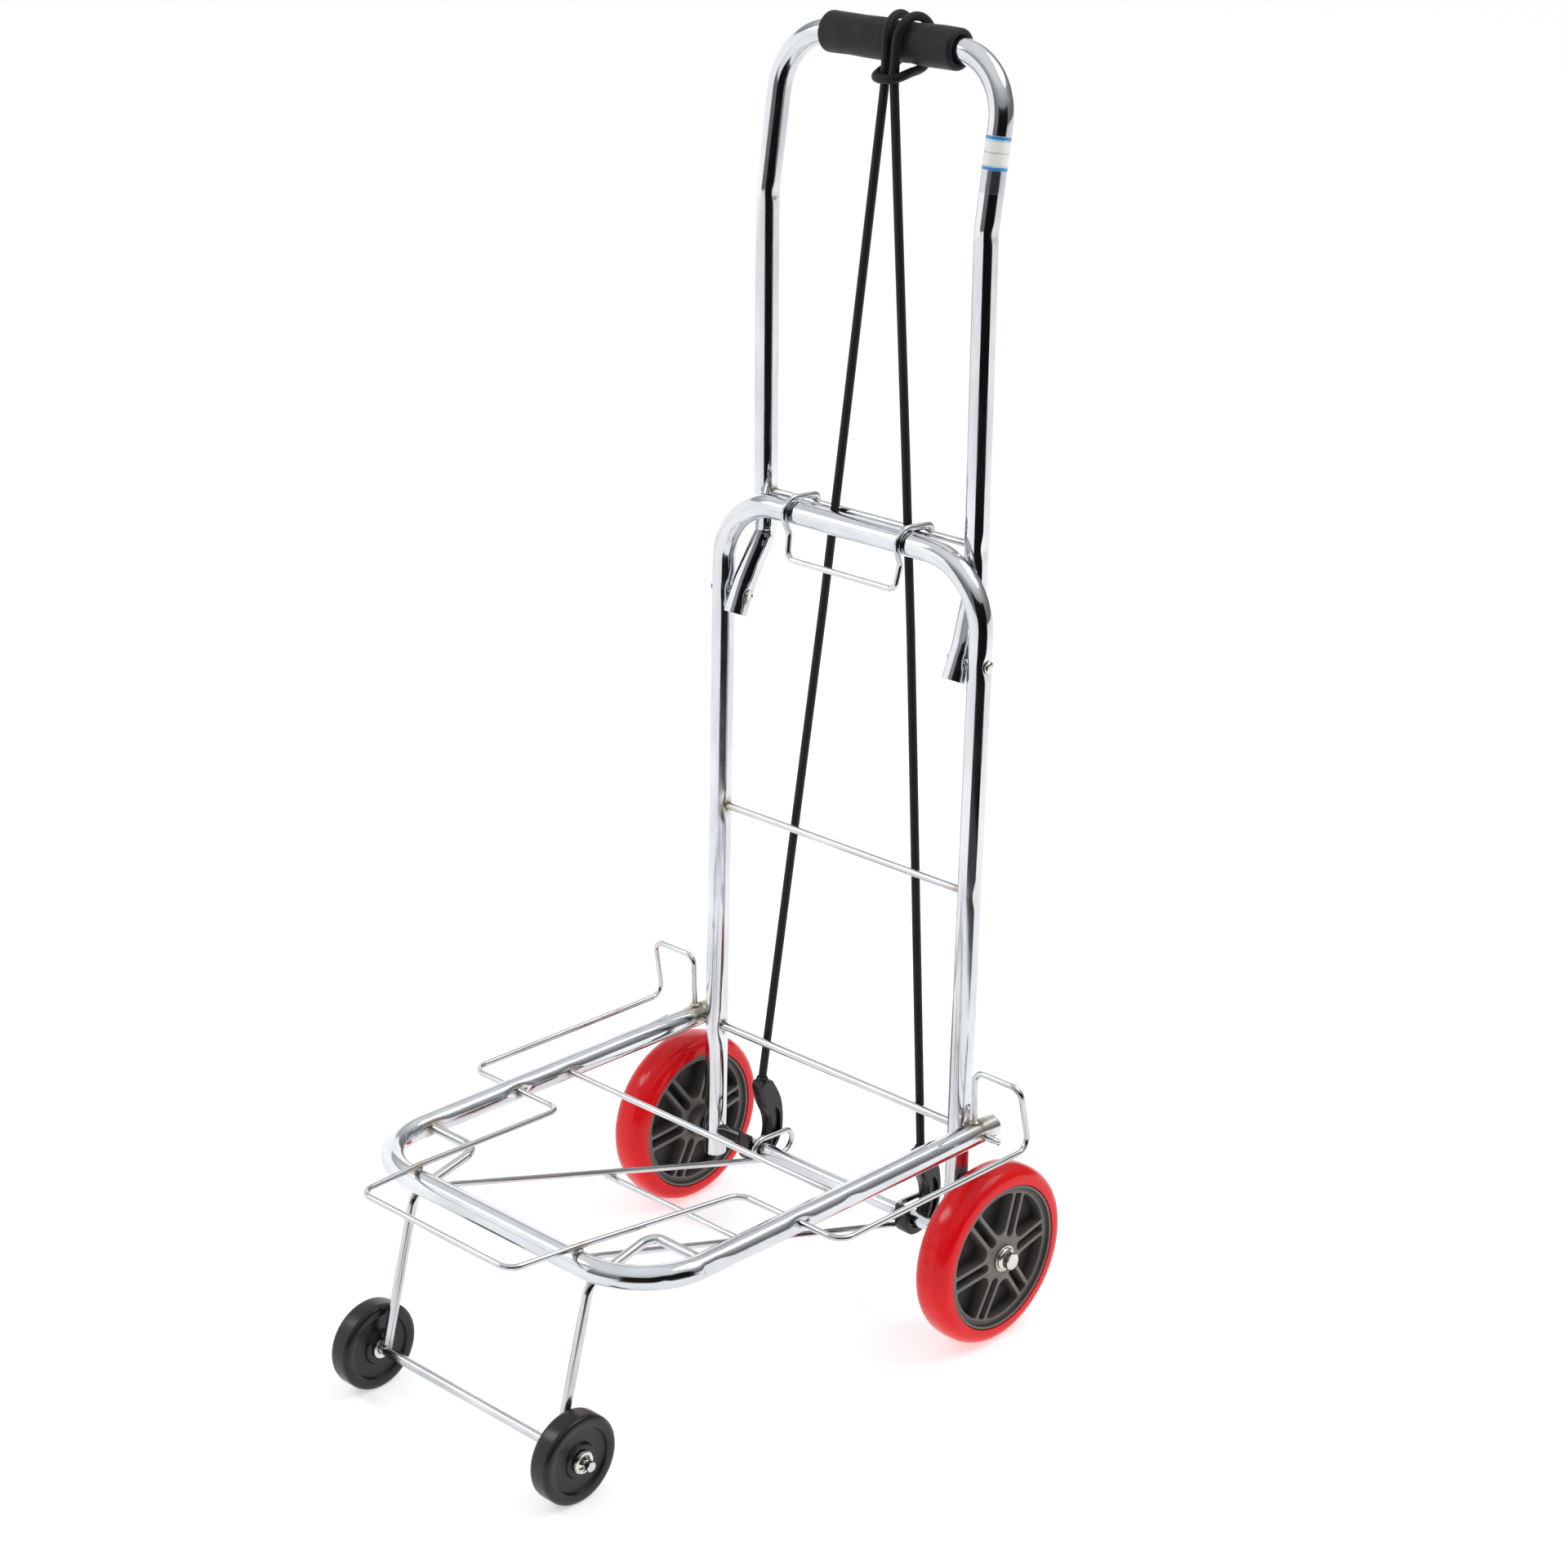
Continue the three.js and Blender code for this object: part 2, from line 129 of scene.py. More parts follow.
def refine(line, coarse, near=(), fine=1.6, reach=26.0):
    """Adds points so that no step is over coarse, or over fine close to the points in near."""
    out = [line[0]]
    near = np.array(near, float).reshape(-1, 3)
    for a, b in zip(line[:-1], line[1:]):
        length = np.linalg.norm(b - a)
        cuts = [0.0]
        while cuts[-1] < length:
            p = a + (b - a) * cuts[-1] / length
            close = len(near) and np.min(np.linalg.norm(near - p, axis=1)) < reach
            cuts.append(cuts[-1] + (fine if close else coarse))
        cuts = np.array(cuts) * length / cuts[-1]
        out += [a + (b - a) * c / length for c in cuts[1:]]
    return np.array(out)


def resample(line, step):
    along = np.r_[0, np.cumsum(np.linalg.norm(np.diff(line, axis=0), axis=1))]
    count = max(2, int(round(along[-1] / step)) + 1)
    at = np.linspace(0, along[-1], count)
    return np.stack([np.interp(at, along, line[:, k]) for k in range(3)], axis=1)


def transported(line, normal):
    """Tangents and two normals carried along a line without twist."""
    step = np.diff(line, axis=0)
    step /= np.linalg.norm(step, axis=1)[:, None]
    tangents = np.vstack([step[:1], step[:-1] + step[1:], step[-1:]])
    tangents /= np.linalg.norm(tangents, axis=1)[:, None]
    normals, n = [], np.array(normal, float)
    for t in tangents:
        n = unit(n - t * np.dot(n, t))
        normals.append(n)
    normals = np.array(normals)
    return tangents, normals, np.cross(tangents, normals)


# ---- meshes
class Part:
    """Vertices, faces and per-vertex facts of one piece, in millimetres."""

    def __init__(self):
        self.points, self.lay, self.faces, self.count = [], [], [], 0

    def add(self, points, lay):
        base = self.count
        self.points.append(points.reshape(-1, 3))
        self.lay.append(lay.reshape(-1, 3))
        self.count += len(self.points[-1])
        return base

    def ring_block(self, rings, lay, along=False):
        """A grid of rings, closed around, and closed along for a hollow tube."""
        m, n = rings.shape[:2]
        base = self.add(rings, lay)
        for i in range(m if along else m - 1):
            i2 = (i + 1) % m
            for k in range(n):
                k2 = (k + 1) % n
                self.faces.append(
                    (base + i * n + k, base + i * n + k2, base + i2 * n + k2, base + i2 * n + k)
                )
        return base

    def close(self, base, m, n):
        """Caps the first and the last ring of a block of m rings of n points."""
        self.faces.append(tuple(base + k for k in range(n))[::-1])
        self.faces.append(tuple(base + (m - 1) * n + k for k in range(n)))

    def block(self, points, faces):
        base = self.add(points, points)
        self.faces += [tuple(base + i for i in f) for f in faces]


def in_scene(name, data):
    obj = bpy.data.objects.new(name, data)
    bpy.context.scene.collection.objects.link(obj)
    return obj


def make(name, part, body, look, heat=(), sharp=38.0, node=None):
    """Turns a Part into a Blender object that rides on a CAD body."""
    points = np.vstack(part.points)
    mesh = bpy.data.meshes.new(name)
    mesh.from_pydata(to_frame(points).tolist(), [], part.faces)
    mesh.validate()
    lay = mesh.attributes.new("lay", "FLOAT_VECTOR", "POINT")
    lay.data.foreach_set("vector", np.vstack(part.lay).astype(np.float32).ravel())
    warm = np.zeros(len(points))
    for centre, size in heat:
        warm += np.exp(-(np.linalg.norm(points - centre, axis=1) / size) ** 2)
    hot = mesh.attributes.new("weld_heat_and_painted_shade", "FLOAT", "POINT")
    hot.data.foreach_set("value", np.clip(warm, 0, 1).astype(np.float32))
    turn_outwards(mesh)
    mesh.polygons.foreach_set("use_smooth", [True] * len(mesh.polygons))
    mesh.set_sharp_from_angle(angle=math.radians(sharp))
    mesh.materials.append(look)
    obj = in_scene(name, mesh)
    if body:
        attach(obj, body)
    if node:
        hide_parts(node)
    return obj


def model(node, kind, part, body, look, heat=(), sharp=38.0):
    """The piece that stands for one CAD node and is named after it."""
    return make(node + "_" + kind, part, body, look, heat, sharp, node)


def turn_outwards(mesh, join=0.0):
    """Makes every face look outwards, after joining vertices that lie on each other."""
    bm = bmesh.new()
    bm.from_mesh(mesh)
    if join:
        bmesh.ops.remove_doubles(bm, verts=bm.verts, dist=join)
    bmesh.ops.recalc_face_normals(bm, faces=bm.faces)
    bm.to_mesh(mesh)
    bm.free()


def join_seams(obj):
    """One closed skin from blocks that meet edge to edge."""
    turn_outwards(obj.data, 2e-5)
    obj.data.set_sharp_from_angle(angle=math.radians(30))


def ring_angles(n):
    return np.arange(n) * 2 * math.pi / n


def lay_of(angles, radius, along):
    """(r cos, r sin, distance along) of each vertex, which textures follow without a seam."""
    grid = np.zeros((len(along), len(angles), 3))
    grid[:, :, 0] = radius * np.cos(angles)
    grid[:, :, 1] = radius * np.sin(angles)
    grid[:, :, 2] = np.asarray(along)[:, None]
    return grid


def sweep(line, radius, n=20, inner=None, normal=(0, 1, 0), dents=(), shape=None, edge=None):
    """A round wire or a hollow tube along a line; shape(s, length) gives two half sizes."""
    part = Part()
    edge = (0.25 * radius if inner is None else 0.25) if edge is None else edge
    line = np.array(line, float)
    t, nn, bb = transported(line, normal)
    start, end = line[0] + t[0] * edge, line[-1] - t[-1] * edge
    line = np.vstack([line[:1], start, line[1:-1], end, line[-1:]])
    keep = [0, 0, *range(1, len(t) - 1), len(t) - 1, len(t) - 1]
    t, nn, bb = t[keep], nn[keep], bb[keep]
    along = np.r_[0, np.cumsum(np.linalg.norm(np.diff(line, axis=0), axis=1))]
    angles = ring_angles(n)
    shrink = np.ones(len(line))
    shrink[[0, -1]] = 1 - edge / radius
    side_u = nn[:, None, :] * np.cos(angles)[None, :, None]
    side_v = bb[:, None, :] * np.sin(angles)[None, :, None]
    dirs = side_u + side_v
    if shape is None:
        spread = dirs * (radius * shrink)[:, None, None]
    else:
        half = np.array([shape(s, along[-1]) for s in along]) * shrink[:, None]
        spread = side_u * half[:, :1, None] + side_v * half[:, 1:, None]
    outer = line[:, None, :] + spread
    if inner is None:
        part.close(part.ring_block(outer, lay_of(angles, radius, along)), len(line), n)
    else:
        grow = np.zeros(len(line))
        grow[[0, -1]] = edge
        wall = line[:, None, :] + dirs * (inner + grow)[:, None, None]
        both = np.concatenate([outer, wall[::-1]])
        lay = np.concatenate([lay_of(angles, radius, along), lay_of(angles, inner, along[::-1])])
        part.ring_block(both, lay, along=True)
        dirs = np.concatenate([dirs, dirs[::-1]])
        t = np.concatenate([t, t[::-1]])
    if dents:
        points = part.points[0].reshape(-1, n, 3)
        across = np.cross(t, [1.0, 0, 0])
        across /= np.maximum(np.linalg.norm(across, axis=1), 1e-9)[:, None]
        side = np.sign(dirs[:, :, 0])
        facing = np.clip(np.abs(dirs[:, :, 0]), 0, 1) ** 1.5
        for centre, depth, length, width, sides in dents:
            d = points - np.array(centre, float)
            a = np.einsum("ikj,ij->ik", d, t)
            b = np.einsum("ikj,ij->ik", d, across)
            push = depth * np.exp(-(a / length) ** 2 - (b / width) ** 2)
            push *= facing * np.isin(side, sides)
            points[:, :, 0] -= side * push
        part.points[0] = points.reshape(-1, 3)
    return part


def bar(x0, x1, y, z):
    return np.array([[x0, y, z], [x1, y, z]], float)


def turned(profile, y, z, n=96, part=None, closed=True, wobble=None):
    """Turns (x, r) points about a line parallel to X; closed joins the last to the first."""
    part = part or Part()
    profile = np.array(profile, float)
    angles = ring_angles(n)
    r = np.repeat(profile[:, 1][:, None], n, axis=1)
    x = np.repeat(profile[:, 0][:, None], n, axis=1)
    if wobble is not None:
        r = r + wobble(x, angles[None, :])
    rings = np.stack([x, y + r * np.cos(angles), z + r * np.sin(angles)], axis=2)
    lay = np.stack([r * np.cos(angles), r * np.sin(angles), x], axis=2)
    part.ring_block(rings, lay, along=closed)
    return part


# ---- node materials
def set_values(inputs, **values):
    for key, value in values.items():
        inputs[key.replace("_", " ")].default_value = value


class Look:
    """A procedural material; each method adds nodes and returns the output socket."""

    def __init__(self, name, **values):
        self.mat = bpy.data.materials.new(name)
        self.mat.use_nodes = True
        self.tree = self.mat.node_tree
        self.shader = next(n for n in self.tree.nodes if n.type == "BSDF_PRINCIPLED")
        set_values(self.shader.inputs, **values)

    def node(self, kind, **props):
        n = self.tree.nodes.new("ShaderNode" + kind)
        for key, value in props.items():
            setattr(n, key, value)
        return n

    def feed(self, socket, value):
        if isinstance(value, bpy.types.NodeSocket):
            self.tree.links.new(value, socket)
        elif value is not None:
            socket.default_value = value

    def lay(self, scale=(1, 1, 1)):
        """The piece's own coordinates in mm: round the section, and along it."""
        out = self.node("Attribute", attribute_name="lay").outputs["Vector"]
        if tuple(scale) != (1, 1, 1):
            m = self.node("Mapping")
            m.inputs["Scale"].default_value = scale
            self.feed(m.inputs["Vector"], out)
            out = m.outputs["Vector"]
        return out

    def weld_heat_and_painted_shade(self):
        """0 to 1: heat round a weld on the chrome; on the hub, painted shade, 1 on the open faces and 0 in the
        pockets and corners.
        """
        return self.node("Attribute", attribute_name="weld_heat_and_painted_shade").outputs["Fac"]

    def parts(self, vector):
        n = self.node("SeparateXYZ")
        self.feed(n.inputs[0], vector)
        return n.outputs

    def place(self):
        """Position in the row frame at rest, in metres."""
        return self.node("TexCoord").outputs["Object"]

    def noise(self, vector, scale, detail=3.0, rough=0.5, distortion=0.0):
        n = self.node("TexNoise")
        self.feed(n.inputs["Vector"], vector)
        set_values(n.inputs, Scale=scale, Detail=detail, Roughness=rough, Distortion=distortion)
        return n.outputs["Fac"]

    def cells(self, vector, scale):
        n = self.node("TexVoronoi")
        self.feed(n.inputs["Vector"], vector)
        set_values(n.inputs, Scale=scale)
        return n.outputs["Distance"]

    def span(self, value, a, b, c=0.0, d=1.0):
        """value from a..b to c..d, clamped."""
        n = self.node("MapRange")
        values = {"Value": value, "From Min": a, "From Max": b, "To Min": c, "To Max": d}
        for key, x in values.items():
            self.feed(n.inputs[key], x)
        return n.outputs["Result"]

    def math(self, operation, a, b=None):
        n = self.node("Math", operation=operation)
        self.feed(n.inputs[0], a)
        self.feed(n.inputs[1], b)
        return n.outputs["Value"]

    def plus(self, a, b):
        return self.math("ADD", a, b)

    def times(self, a, b):
        return self.math("MULTIPLY", a, b)

    def mix(self, fac, a, b):
        n = self.node("Mix", data_type="RGBA")
        self.feed(n.inputs["Factor"], fac)
        self.feed(n.inputs[6], a if isinstance(a, bpy.types.NodeSocket) else (*a, 1.0))
        self.feed(n.inputs[7], b if isinstance(b, bpy.types.NodeSocket) else (*b, 1.0))
        return n.outputs[2]

    def bump(self, height, strength, distance, normal=None):
        n = self.node("Bump")
        set_values(n.inputs, Strength=strength, Distance=distance)
        self.feed(n.inputs["Height"], height)
        if normal is not None:
            self.feed(n.inputs["Normal"], normal)
        return n.outputs["Normal"]

    def finish(self, color=None, roughness=None, normal=None):
        for key, value in (("Base Color", color), ("Roughness", roughness), ("Normal", normal)):
            if value is not None:
                self.feed(self.shader.inputs[key], value)
        return self.mat


def chrome_look(name, light, dark, smooth, worn_and_painted_shade, wave=0.10, scratch=0.10):
    """Plated tube: faint clouds and draw lines in the gloss, brown where a weld heated it."""
    k = Look(name, Metallic=1.0)
    cloud = k.noise(k.lay((0.05, 0.05, 0.012)), 1.0, 4, 0.6)
    fine = k.noise(k.lay((1.6, 1.6, 0.03)), 1.0, 3, 0.6)
    speck = k.noise(k.lay(), 1.3, 2, 0.5)
    heat = k.weld_heat_and_painted_shade()
    ragged = k.times(heat, k.span(k.noise(k.place(), 160.0, 3), 0.3, 0.7, 0.55, 1.25))
    color = k.mix(k.span(cloud, 0.35, 0.68), light, dark)
    color = k.mix(k.span(ragged, 0.10, 0.55, 0.0, 0.62), color, (0.42, 0.33, 0.23))
    color = k.mix(k.span(ragged, 0.60, 0.98, 0.0, 0.85), color, (0.11, 0.085, 0.07))
    rough = k.plus(k.span(cloud, 0.35, 0.72, smooth, worn_and_painted_shade), k.span(fine, 0.45, 0.75, 0.0, 0.05))
    rough = k.plus(rough, k.span(ragged, 0.1, 0.9, 0.0, 0.28))
    normal = k.bump(k.noise(k.lay((0.06, 0.06, 0.02)), 1.0, 2), wave, 0.0012)
    normal = k.bump(fine, scratch, 0.00006, normal)
    normal = k.bump(k.span(speck, 0.70, 0.80), 0.12, 0.00005, normal)
    return k.finish(color, rough, normal)


CHROME = chrome_look("chrome", (0.72, 0.735, 0.755), (0.56, 0.575, 0.60), 0.06, 0.17)
WIRE = chrome_look("chrome_wire", (0.66, 0.67, 0.68), (0.48, 0.49, 0.505), 0.10, 0.22, 0.14)
NICKEL = chrome_look("nickel", (0.80, 0.76, 0.71), (0.62, 0.585, 0.54), 0.14, 0.27, 0.10)


def weld_look():
    k = Look("weld", Metallic=1.0)
    grain = k.noise(k.place(), 900.0, 4)
    color = k.mix(k.span(grain, 0.35, 0.65), (0.30, 0.28, 0.26), (0.62, 0.60, 0.57))
    return k.finish(color, k.span(grain, 0.3, 0.7, 0.22, 0.42), k.bump(grain, 0.5, 0.0003))


def tyre_look():
    """Glossy cast polyurethane with faint flow marks and dull scuffs."""
    k = Look(
        "tyre_red", Coat_Weight=0.10, Coat_Roughness=0.08, Specular_IOR_Level=0.22,
        Subsurface_Weight=0.04, Subsurface_Radius=(0.004, 0.0006, 0.0005),
    )
    flow = k.noise(k.place(), 14.0, 3, 0.55)
    grain = k.noise(k.place(), 420.0, 2)
    color = k.mix(k.span(flow, 0.35, 0.7), (0.80, 0.0020, 0.0060), (0.70, 0.0016, 0.0050))
    scuff = k.span(k.noise(k.place(), 90.0, 5, 0.65), 0.52, 0.72, 0.0, 0.22)
    rough = k.plus(k.span(flow, 0.3, 0.7, 0.16, 0.24), scuff)
    normal = k.bump(flow, 0.08, 0.001)
    normal = k.bump(grain, 0.06, 0.00008, normal)
    return k.finish(color, rough, normal)


def hub_look():
    """Grey moulded nylon with fine spark-eroded grain, paler on the open faces; painted shade darkens it in the
    pockets and corners.
    """
    k = Look("hub_plastic", Specular_IOR_Level=0.3)
    grain = k.noise(k.place(), 1500.0, 2)
    cloud = k.noise(k.place(), 35.0, 3)
    # mask of painted shade: 1 on the open faces, falling to 0 down in the pockets and corners
    edge = k.weld_heat_and_painted_shade()
    # dark grey down in the pockets, pale grey on the open faces: painted shade
    color = k.mix(k.span(cloud, 0.3, 0.7), (0.030, 0.0275, 0.0255), (0.050, 0.046, 0.043))
    color = k.mix(k.times(edge, k.span(cloud, 0.2, 0.8, 0.78, 1.0)), color, (0.185, 0.170, 0.158))
    rough = k.span(grain, 0.3, 0.7, 0.36, 0.52)
    return k.finish(color, rough, k.bump(grain, 0.25, 0.00012, k.bump(cloud, 0.06, 0.0012)))


def caster_look():
    k = Look("caster_rubber", Coat_Weight=0.10, Coat_Roughness=0.16, Specular_IOR_Level=0.35)
    cloud = k.noise(k.place(), 60.0, 5, 0.62)
    grain = k.noise(k.place(), 1100.0, 2)
    color = k.mix(k.span(cloud, 0.40, 0.75), (0.0035, 0.0033, 0.0048), (0.0095, 0.0088, 0.0120))
    rough = k.plus(k.span(cloud, 0.3, 0.75, 0.24, 0.44), k.span(grain, 0.4, 0.7, 0.0, 0.05))
    return k.finish(color, rough, k.bump(grain, 0.18, 0.00010, k.bump(cloud, 0.10, 0.0007)))


def foam_look():
    """Closed-cell foam sleeve: fine cells, a slight skin, softly uneven."""
    k = Look("grip_foam", Sheen_Weight=0.05, Sheen_Roughness=0.5, Specular_IOR_Level=0.28)
    cell = k.cells(k.place(), 1500.0)
    big = k.cells(k.place(), 520.0)
    cloud = k.noise(k.place(), 70.0, 4, 0.6)
    # darker in the hollow of each cell, where the bump sinks: painted shade
    color = k.mix(k.span(cell, 0.1, 0.6), (0.0045, 0.0042, 0.0058), (0.0100, 0.0093, 0.0125))
    color = k.mix(k.span(cloud, 0.50, 0.78, 0.0, 0.5), color, (0.0160, 0.0150, 0.0190))
    rough = k.span(cloud, 0.3, 0.7, 0.50, 0.68)
    normal = k.bump(cell, 0.55, 0.00022)
    normal = k.bump(k.span(big, 0.0, 0.32), 0.25, 0.00025, normal)
    return k.finish(color, rough, k.bump(cloud, 0.25, 0.0012, normal))


STRANDS, BRAID_PITCH = 8.0, 2.9


def braid_look():
    """Braided sleeve: two families of strands cross at about 40 degrees round the core."""
    k = Look("cord_weave", Sheen_Weight=0.06, Sheen_Roughness=0.4, Specular_IOR_Level=0.25)
    u, v, along = k.parts(k.lay())
    round_it = k.times(k.math("ARCTAN2", v, u), STRANDS)
    down = k.times(along, 2 * math.pi / BRAID_PITCH)
    a = k.math("SINE", k.plus(round_it, down))
    b = k.math("SINE", k.math("SUBTRACT", round_it, down))
    over = k.span(k.math("SINE", down), -1, 1, 0.75, 1.0)
    height = k.math("MAXIMUM", k.times(a, over), b)
    fuzz = k.noise(k.lay((3.0, 3.0, 1.2)), 1.6, 3, 0.6)
    # strand crests paler, the grooves between the strands darker: painted shade
    color = k.mix(k.span(height, -0.2, 1.0), (0.0015, 0.0014, 0.0018), (0.0075, 0.0070, 0.0085))
    color = k.mix(k.span(fuzz, 0.55, 0.8, 0.0, 0.5), color, (0.0150, 0.0140, 0.0170))
    normal = k.bump(height, 0.55, 0.00032)
    return k.finish(color, k.span(fuzz, 0.3, 0.7, 0.42, 0.62), k.bump(fuzz, 0.3, 0.0001, normal))


def hook_look():
    k = Look("hook_plastic", Coat_Weight=0.10, Coat_Roughness=0.2, Specular_IOR_Level=0.35)
    flow = k.noise(k.place(), 120.0, 4, 0.6, 0.6)
    grain = k.noise(k.place(), 1700.0, 2)
    color = k.mix(k.span(flow, 0.35, 0.7), (0.0040, 0.0038, 0.0050), (0.0090, 0.0085, 0.0105))
    rough = k.span(flow, 0.3, 0.7, 0.20, 0.34)
    return k.finish(color, rough, k.bump(grain, 0.12, 0.00008, k.bump(flow, 0.12, 0.0006)))


def label_look():
    """Blank paper label under clear tape: blue end bands, thin rules, bare tape below."""
    k = Look("label", Coat_Weight=0.9, Coat_Roughness=0.08)
    s = k.parts(k.lay())[2]
    wave = k.noise(k.lay((0.2, 0.2, 0.2)), 1.0, 2)
    s = k.plus(s, k.span(wave, 0.3, 0.7, -0.25, 0.25))
    fibre = k.noise(k.lay(), 2.2, 3)

    def band(centre, half):
        away = k.math("ABSOLUTE", k.math("SUBTRACT", s, centre))
        return k.span(away, half - 0.12, half + 0.12, 1.0, 0.0)

    paper = k.mix(k.span(fibre, 0.3, 0.7), (0.86, 0.86, 0.80), (0.78, 0.78, 0.73))
    color = k.mix(band(29.0, 0.22), paper, (0.22, 0.24, 0.27))
    for centre in (19.7, 37.4):
        color = k.mix(band(centre, 0.20), color, (0.10, 0.45, 0.66))
    for centre in (17.7, 39.5):
        color = k.mix(band(centre, 1.25), color, (0.02, 0.22, 0.56))
    tape = k.span(s, 16.2, 16.6)
    color = k.mix(tape, (0.52, 0.54, 0.57), color)
    k.feed(k.shader.inputs["Metallic"], k.span(s, 16.2, 16.6, 0.95, 0.0))  # the tube shows through
    normal = k.bump(k.noise(k.lay((0.5, 0.5, 0.5)), 1.0, 3), 0.15, 0.0004)
    return k.finish(color, k.span(tape, 0, 1, 0.16, 0.34), normal)


WELD, TYRE, HUB, FOAM, CASTER = weld_look(), tyre_look(), hub_look(), foam_look(), caster_look()
BRAID, HOOK, LABEL = braid_look(), hook_look(), label_look()


# ---- layout, as in the CAD source
TUBE = 9.5
LEG = 134.5
AXLE_Z, PIVOT_Z, CROSS_Z, RIVET_Z, TOP_Z = 75.0, 173.0, 372.0, 556.8, 635.0
LATCH_Y, LATCH_Z = 21.2, 640.0
PLAT_X, PLAT_Z, PLAT_FRONT, PLAT_REAR, PLAT_R = 155.0, 175.0, -370.0, 16.4, 60.0
UNDER_Y, UNDER_Z = -303.0, 175.0
BRACE_Y, BRACE_Z = -352.0, 162.5
CASTER_X, CASTER_Y, CASTER_R = 112.5, -397.0, 35.5
GRIP_Y, GRIP_Z = 32.9, 1001.0
WHEEL_X = 170.0
HANDLE_X, HANDLE_PIVOT_X = 109.5, 114.8
KINK_Y, KINK_Z = 15.6, 878.0  # the handle leans back above this height
RAIL_Y, RAIL_Z = -213.0, 177.0  # where the rail wire runs through the platform tube
WIRE_Y, WIRE_Z = -157.0, 175.0  # the platform's cross wire
LINK_X = 78.5
HOOK_X = {"left": -88.0, "right": 89.0}
SIDES = (("left", -1), ("right", 1))
BOTH = (-1, 1)


# ---- elastic cord
HITCH_X = 14.0  # middle of the hitch along the grip


def cord_line():
    """Hook to hook: up behind the bars, a cow hitch round the grip, and down again."""
    cx, r = HITCH_X, 19.7

    def strand(s, hx, pitch, bight):
        top = cx + s * 4.6
        low = [(hx, 7.9, 134.2), (hx, 8.5, 173.0), (hx, 13.9, 560.0), (hx, 13.9, 700.0)]
        pts = []
        for x, y, z in low:
            slide = (972.0 - z) / (972.0 - 135.6)
            pts.append((x if z < 140 else top + (hx - top) * slide, y, z))
        pts.append((top, 12.9, 972.0))
        for a in range(180, -86, -6):
            c = math.radians(a)
            step = (180 - a) / 30.0
            pts.append((cx + s * (4.6 + pitch * step), GRIP_Y + r * math.cos(c), GRIP_Z + r * math.sin(c)))
        return pts + bight

    left = strand(-1, HOOK_X["left"], 1.9, [(-3.6, 21.0, 978.6), (2.6, 9.2, 976.9), (9.6, 5.3, 976.4)])
    right = strand(1, HOOK_X["right"], 0.35, [(25.6, 21.0, 981.0), (25.4, 9.8, 978.2), (18.6, 5.3, 976.9)])
    line = resample(np.array(left + right[::-1]), 1.0)
    reach = np.arange(-12, 13)
    weight = np.exp(-0.5 * (reach / 3.6) ** 2)
    weight /= weight.sum()
    padded = np.vstack([2 * line[0] - line[12:0:-1], line, 2 * line[-1] - line[-2:-14:-1]])
    smooth = np.stack([np.convolve(padded[:, k], weight, "valid") for k in range(3)], axis=1)
    return resample(smooth, 2.0)


CORD_PATH = cord_line()
cord_part = sweep(CORD_PATH, 3.45, n=20, normal=(1, 0, 0), edge=0.5)
cord = make("elastic_cord_braided", cord_part, None, BRAID)
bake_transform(cord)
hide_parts("elastic_cord")


# ---- back frame
def dent(x, y, z, depth, length, width, sides=BOTH):
    """A hollow in a tube's wall, on the given sides of its centre line."""
    return ((x, y, z), depth, length, width, sides)


def spots(x, y, z, size):
    """A spot browned by a weld, on the left and on the right."""
    return [((s * x, y, z), size) for s in BOTH]


def mirrored(half):
    return [(-x, r) for x, r in half[::-1]] + half


def cross_rod(node, kind, half, y, z, radius, body, heat, n=20):
    """A straight wire across the cart."""
    line = refine(bar(-half, half, y, z), 20)
    model(node, kind, sweep(line, radius, n), body, WIRE, heat)


def frame_tube():
    end, bend = 52.5, 55
    corners = [(-LEG, 0, end), (-LEG, 0, TOP_Z, bend), (LEG, 0, TOP_Z, bend), (LEG, 0, end)]
    close = [(s * LEG, 0, z) for s in BOTH for z in (AXLE_Z, PIVOT_Z, CROSS_Z, RIVET_Z, 205)]
    line = refine(rounded(corners, 4.0), 12.0, close)
    dents = []
    for s in BOTH:
        x = s * LEG
        dents += [
            dent(x, 0, AXLE_Z, 0.7, 10, 7),
            dent(x, 0, PIVOT_Z, 1.7, 10, 4.8),
            dent(x, 0, PIVOT_Z + 22, 1.2, 24, 3.2, (s,)),
            dent(x, 0, CROSS_Z, 1.7, 8, 4.8, (-s,)),
            dent(x, 0, RIVET_Z, 1.3, 7, 7, (s,)),
            dent(x, 0, RIVET_Z, 0.5, 7, 7, (-s,)),
        ]
    heat = spots(LEG - 8.5, 0, CROSS_Z, 7.0) + spots(LEG - 8.5, 0, PIVOT_Z, 6.0)
    heat += spots(LEG + 8.5, 0, PIVOT_Z, 8.0)
    part = sweep(line, TUBE, n=48, inner=TUBE - 1.2, dents=dents)
    model("frame_tube", "chrome", part, "frame", CHROME, heat)


def flat_ends(s, length):
    """The pivot rod's ends are hammered flat over their last 9 mm."""
    t = np.clip(1.6 - min(s, length - s) / 8.0, 0, 1)
    t = t * t * (3 - 2 * t)
    return 3.5 * (1 - 0.22 * t), 3.5 * (1 - 0.40 * t)


def pivot_rod():
    ends = [(-165, 0, PIVOT_Z), (171, 0, PIVOT_Z)]
    line = refine(bar(-169, 177, 0, PIVOT_Z), 20, ends, 1.2, 14)
    part = sweep(line, 3.5, 24, normal=(0, 0, 1), shape=flat_ends)
    model("platform_pivot_rod", "wire", part, "frame", WIRE, spots(124, 0, PIVOT_Z, 4.0))


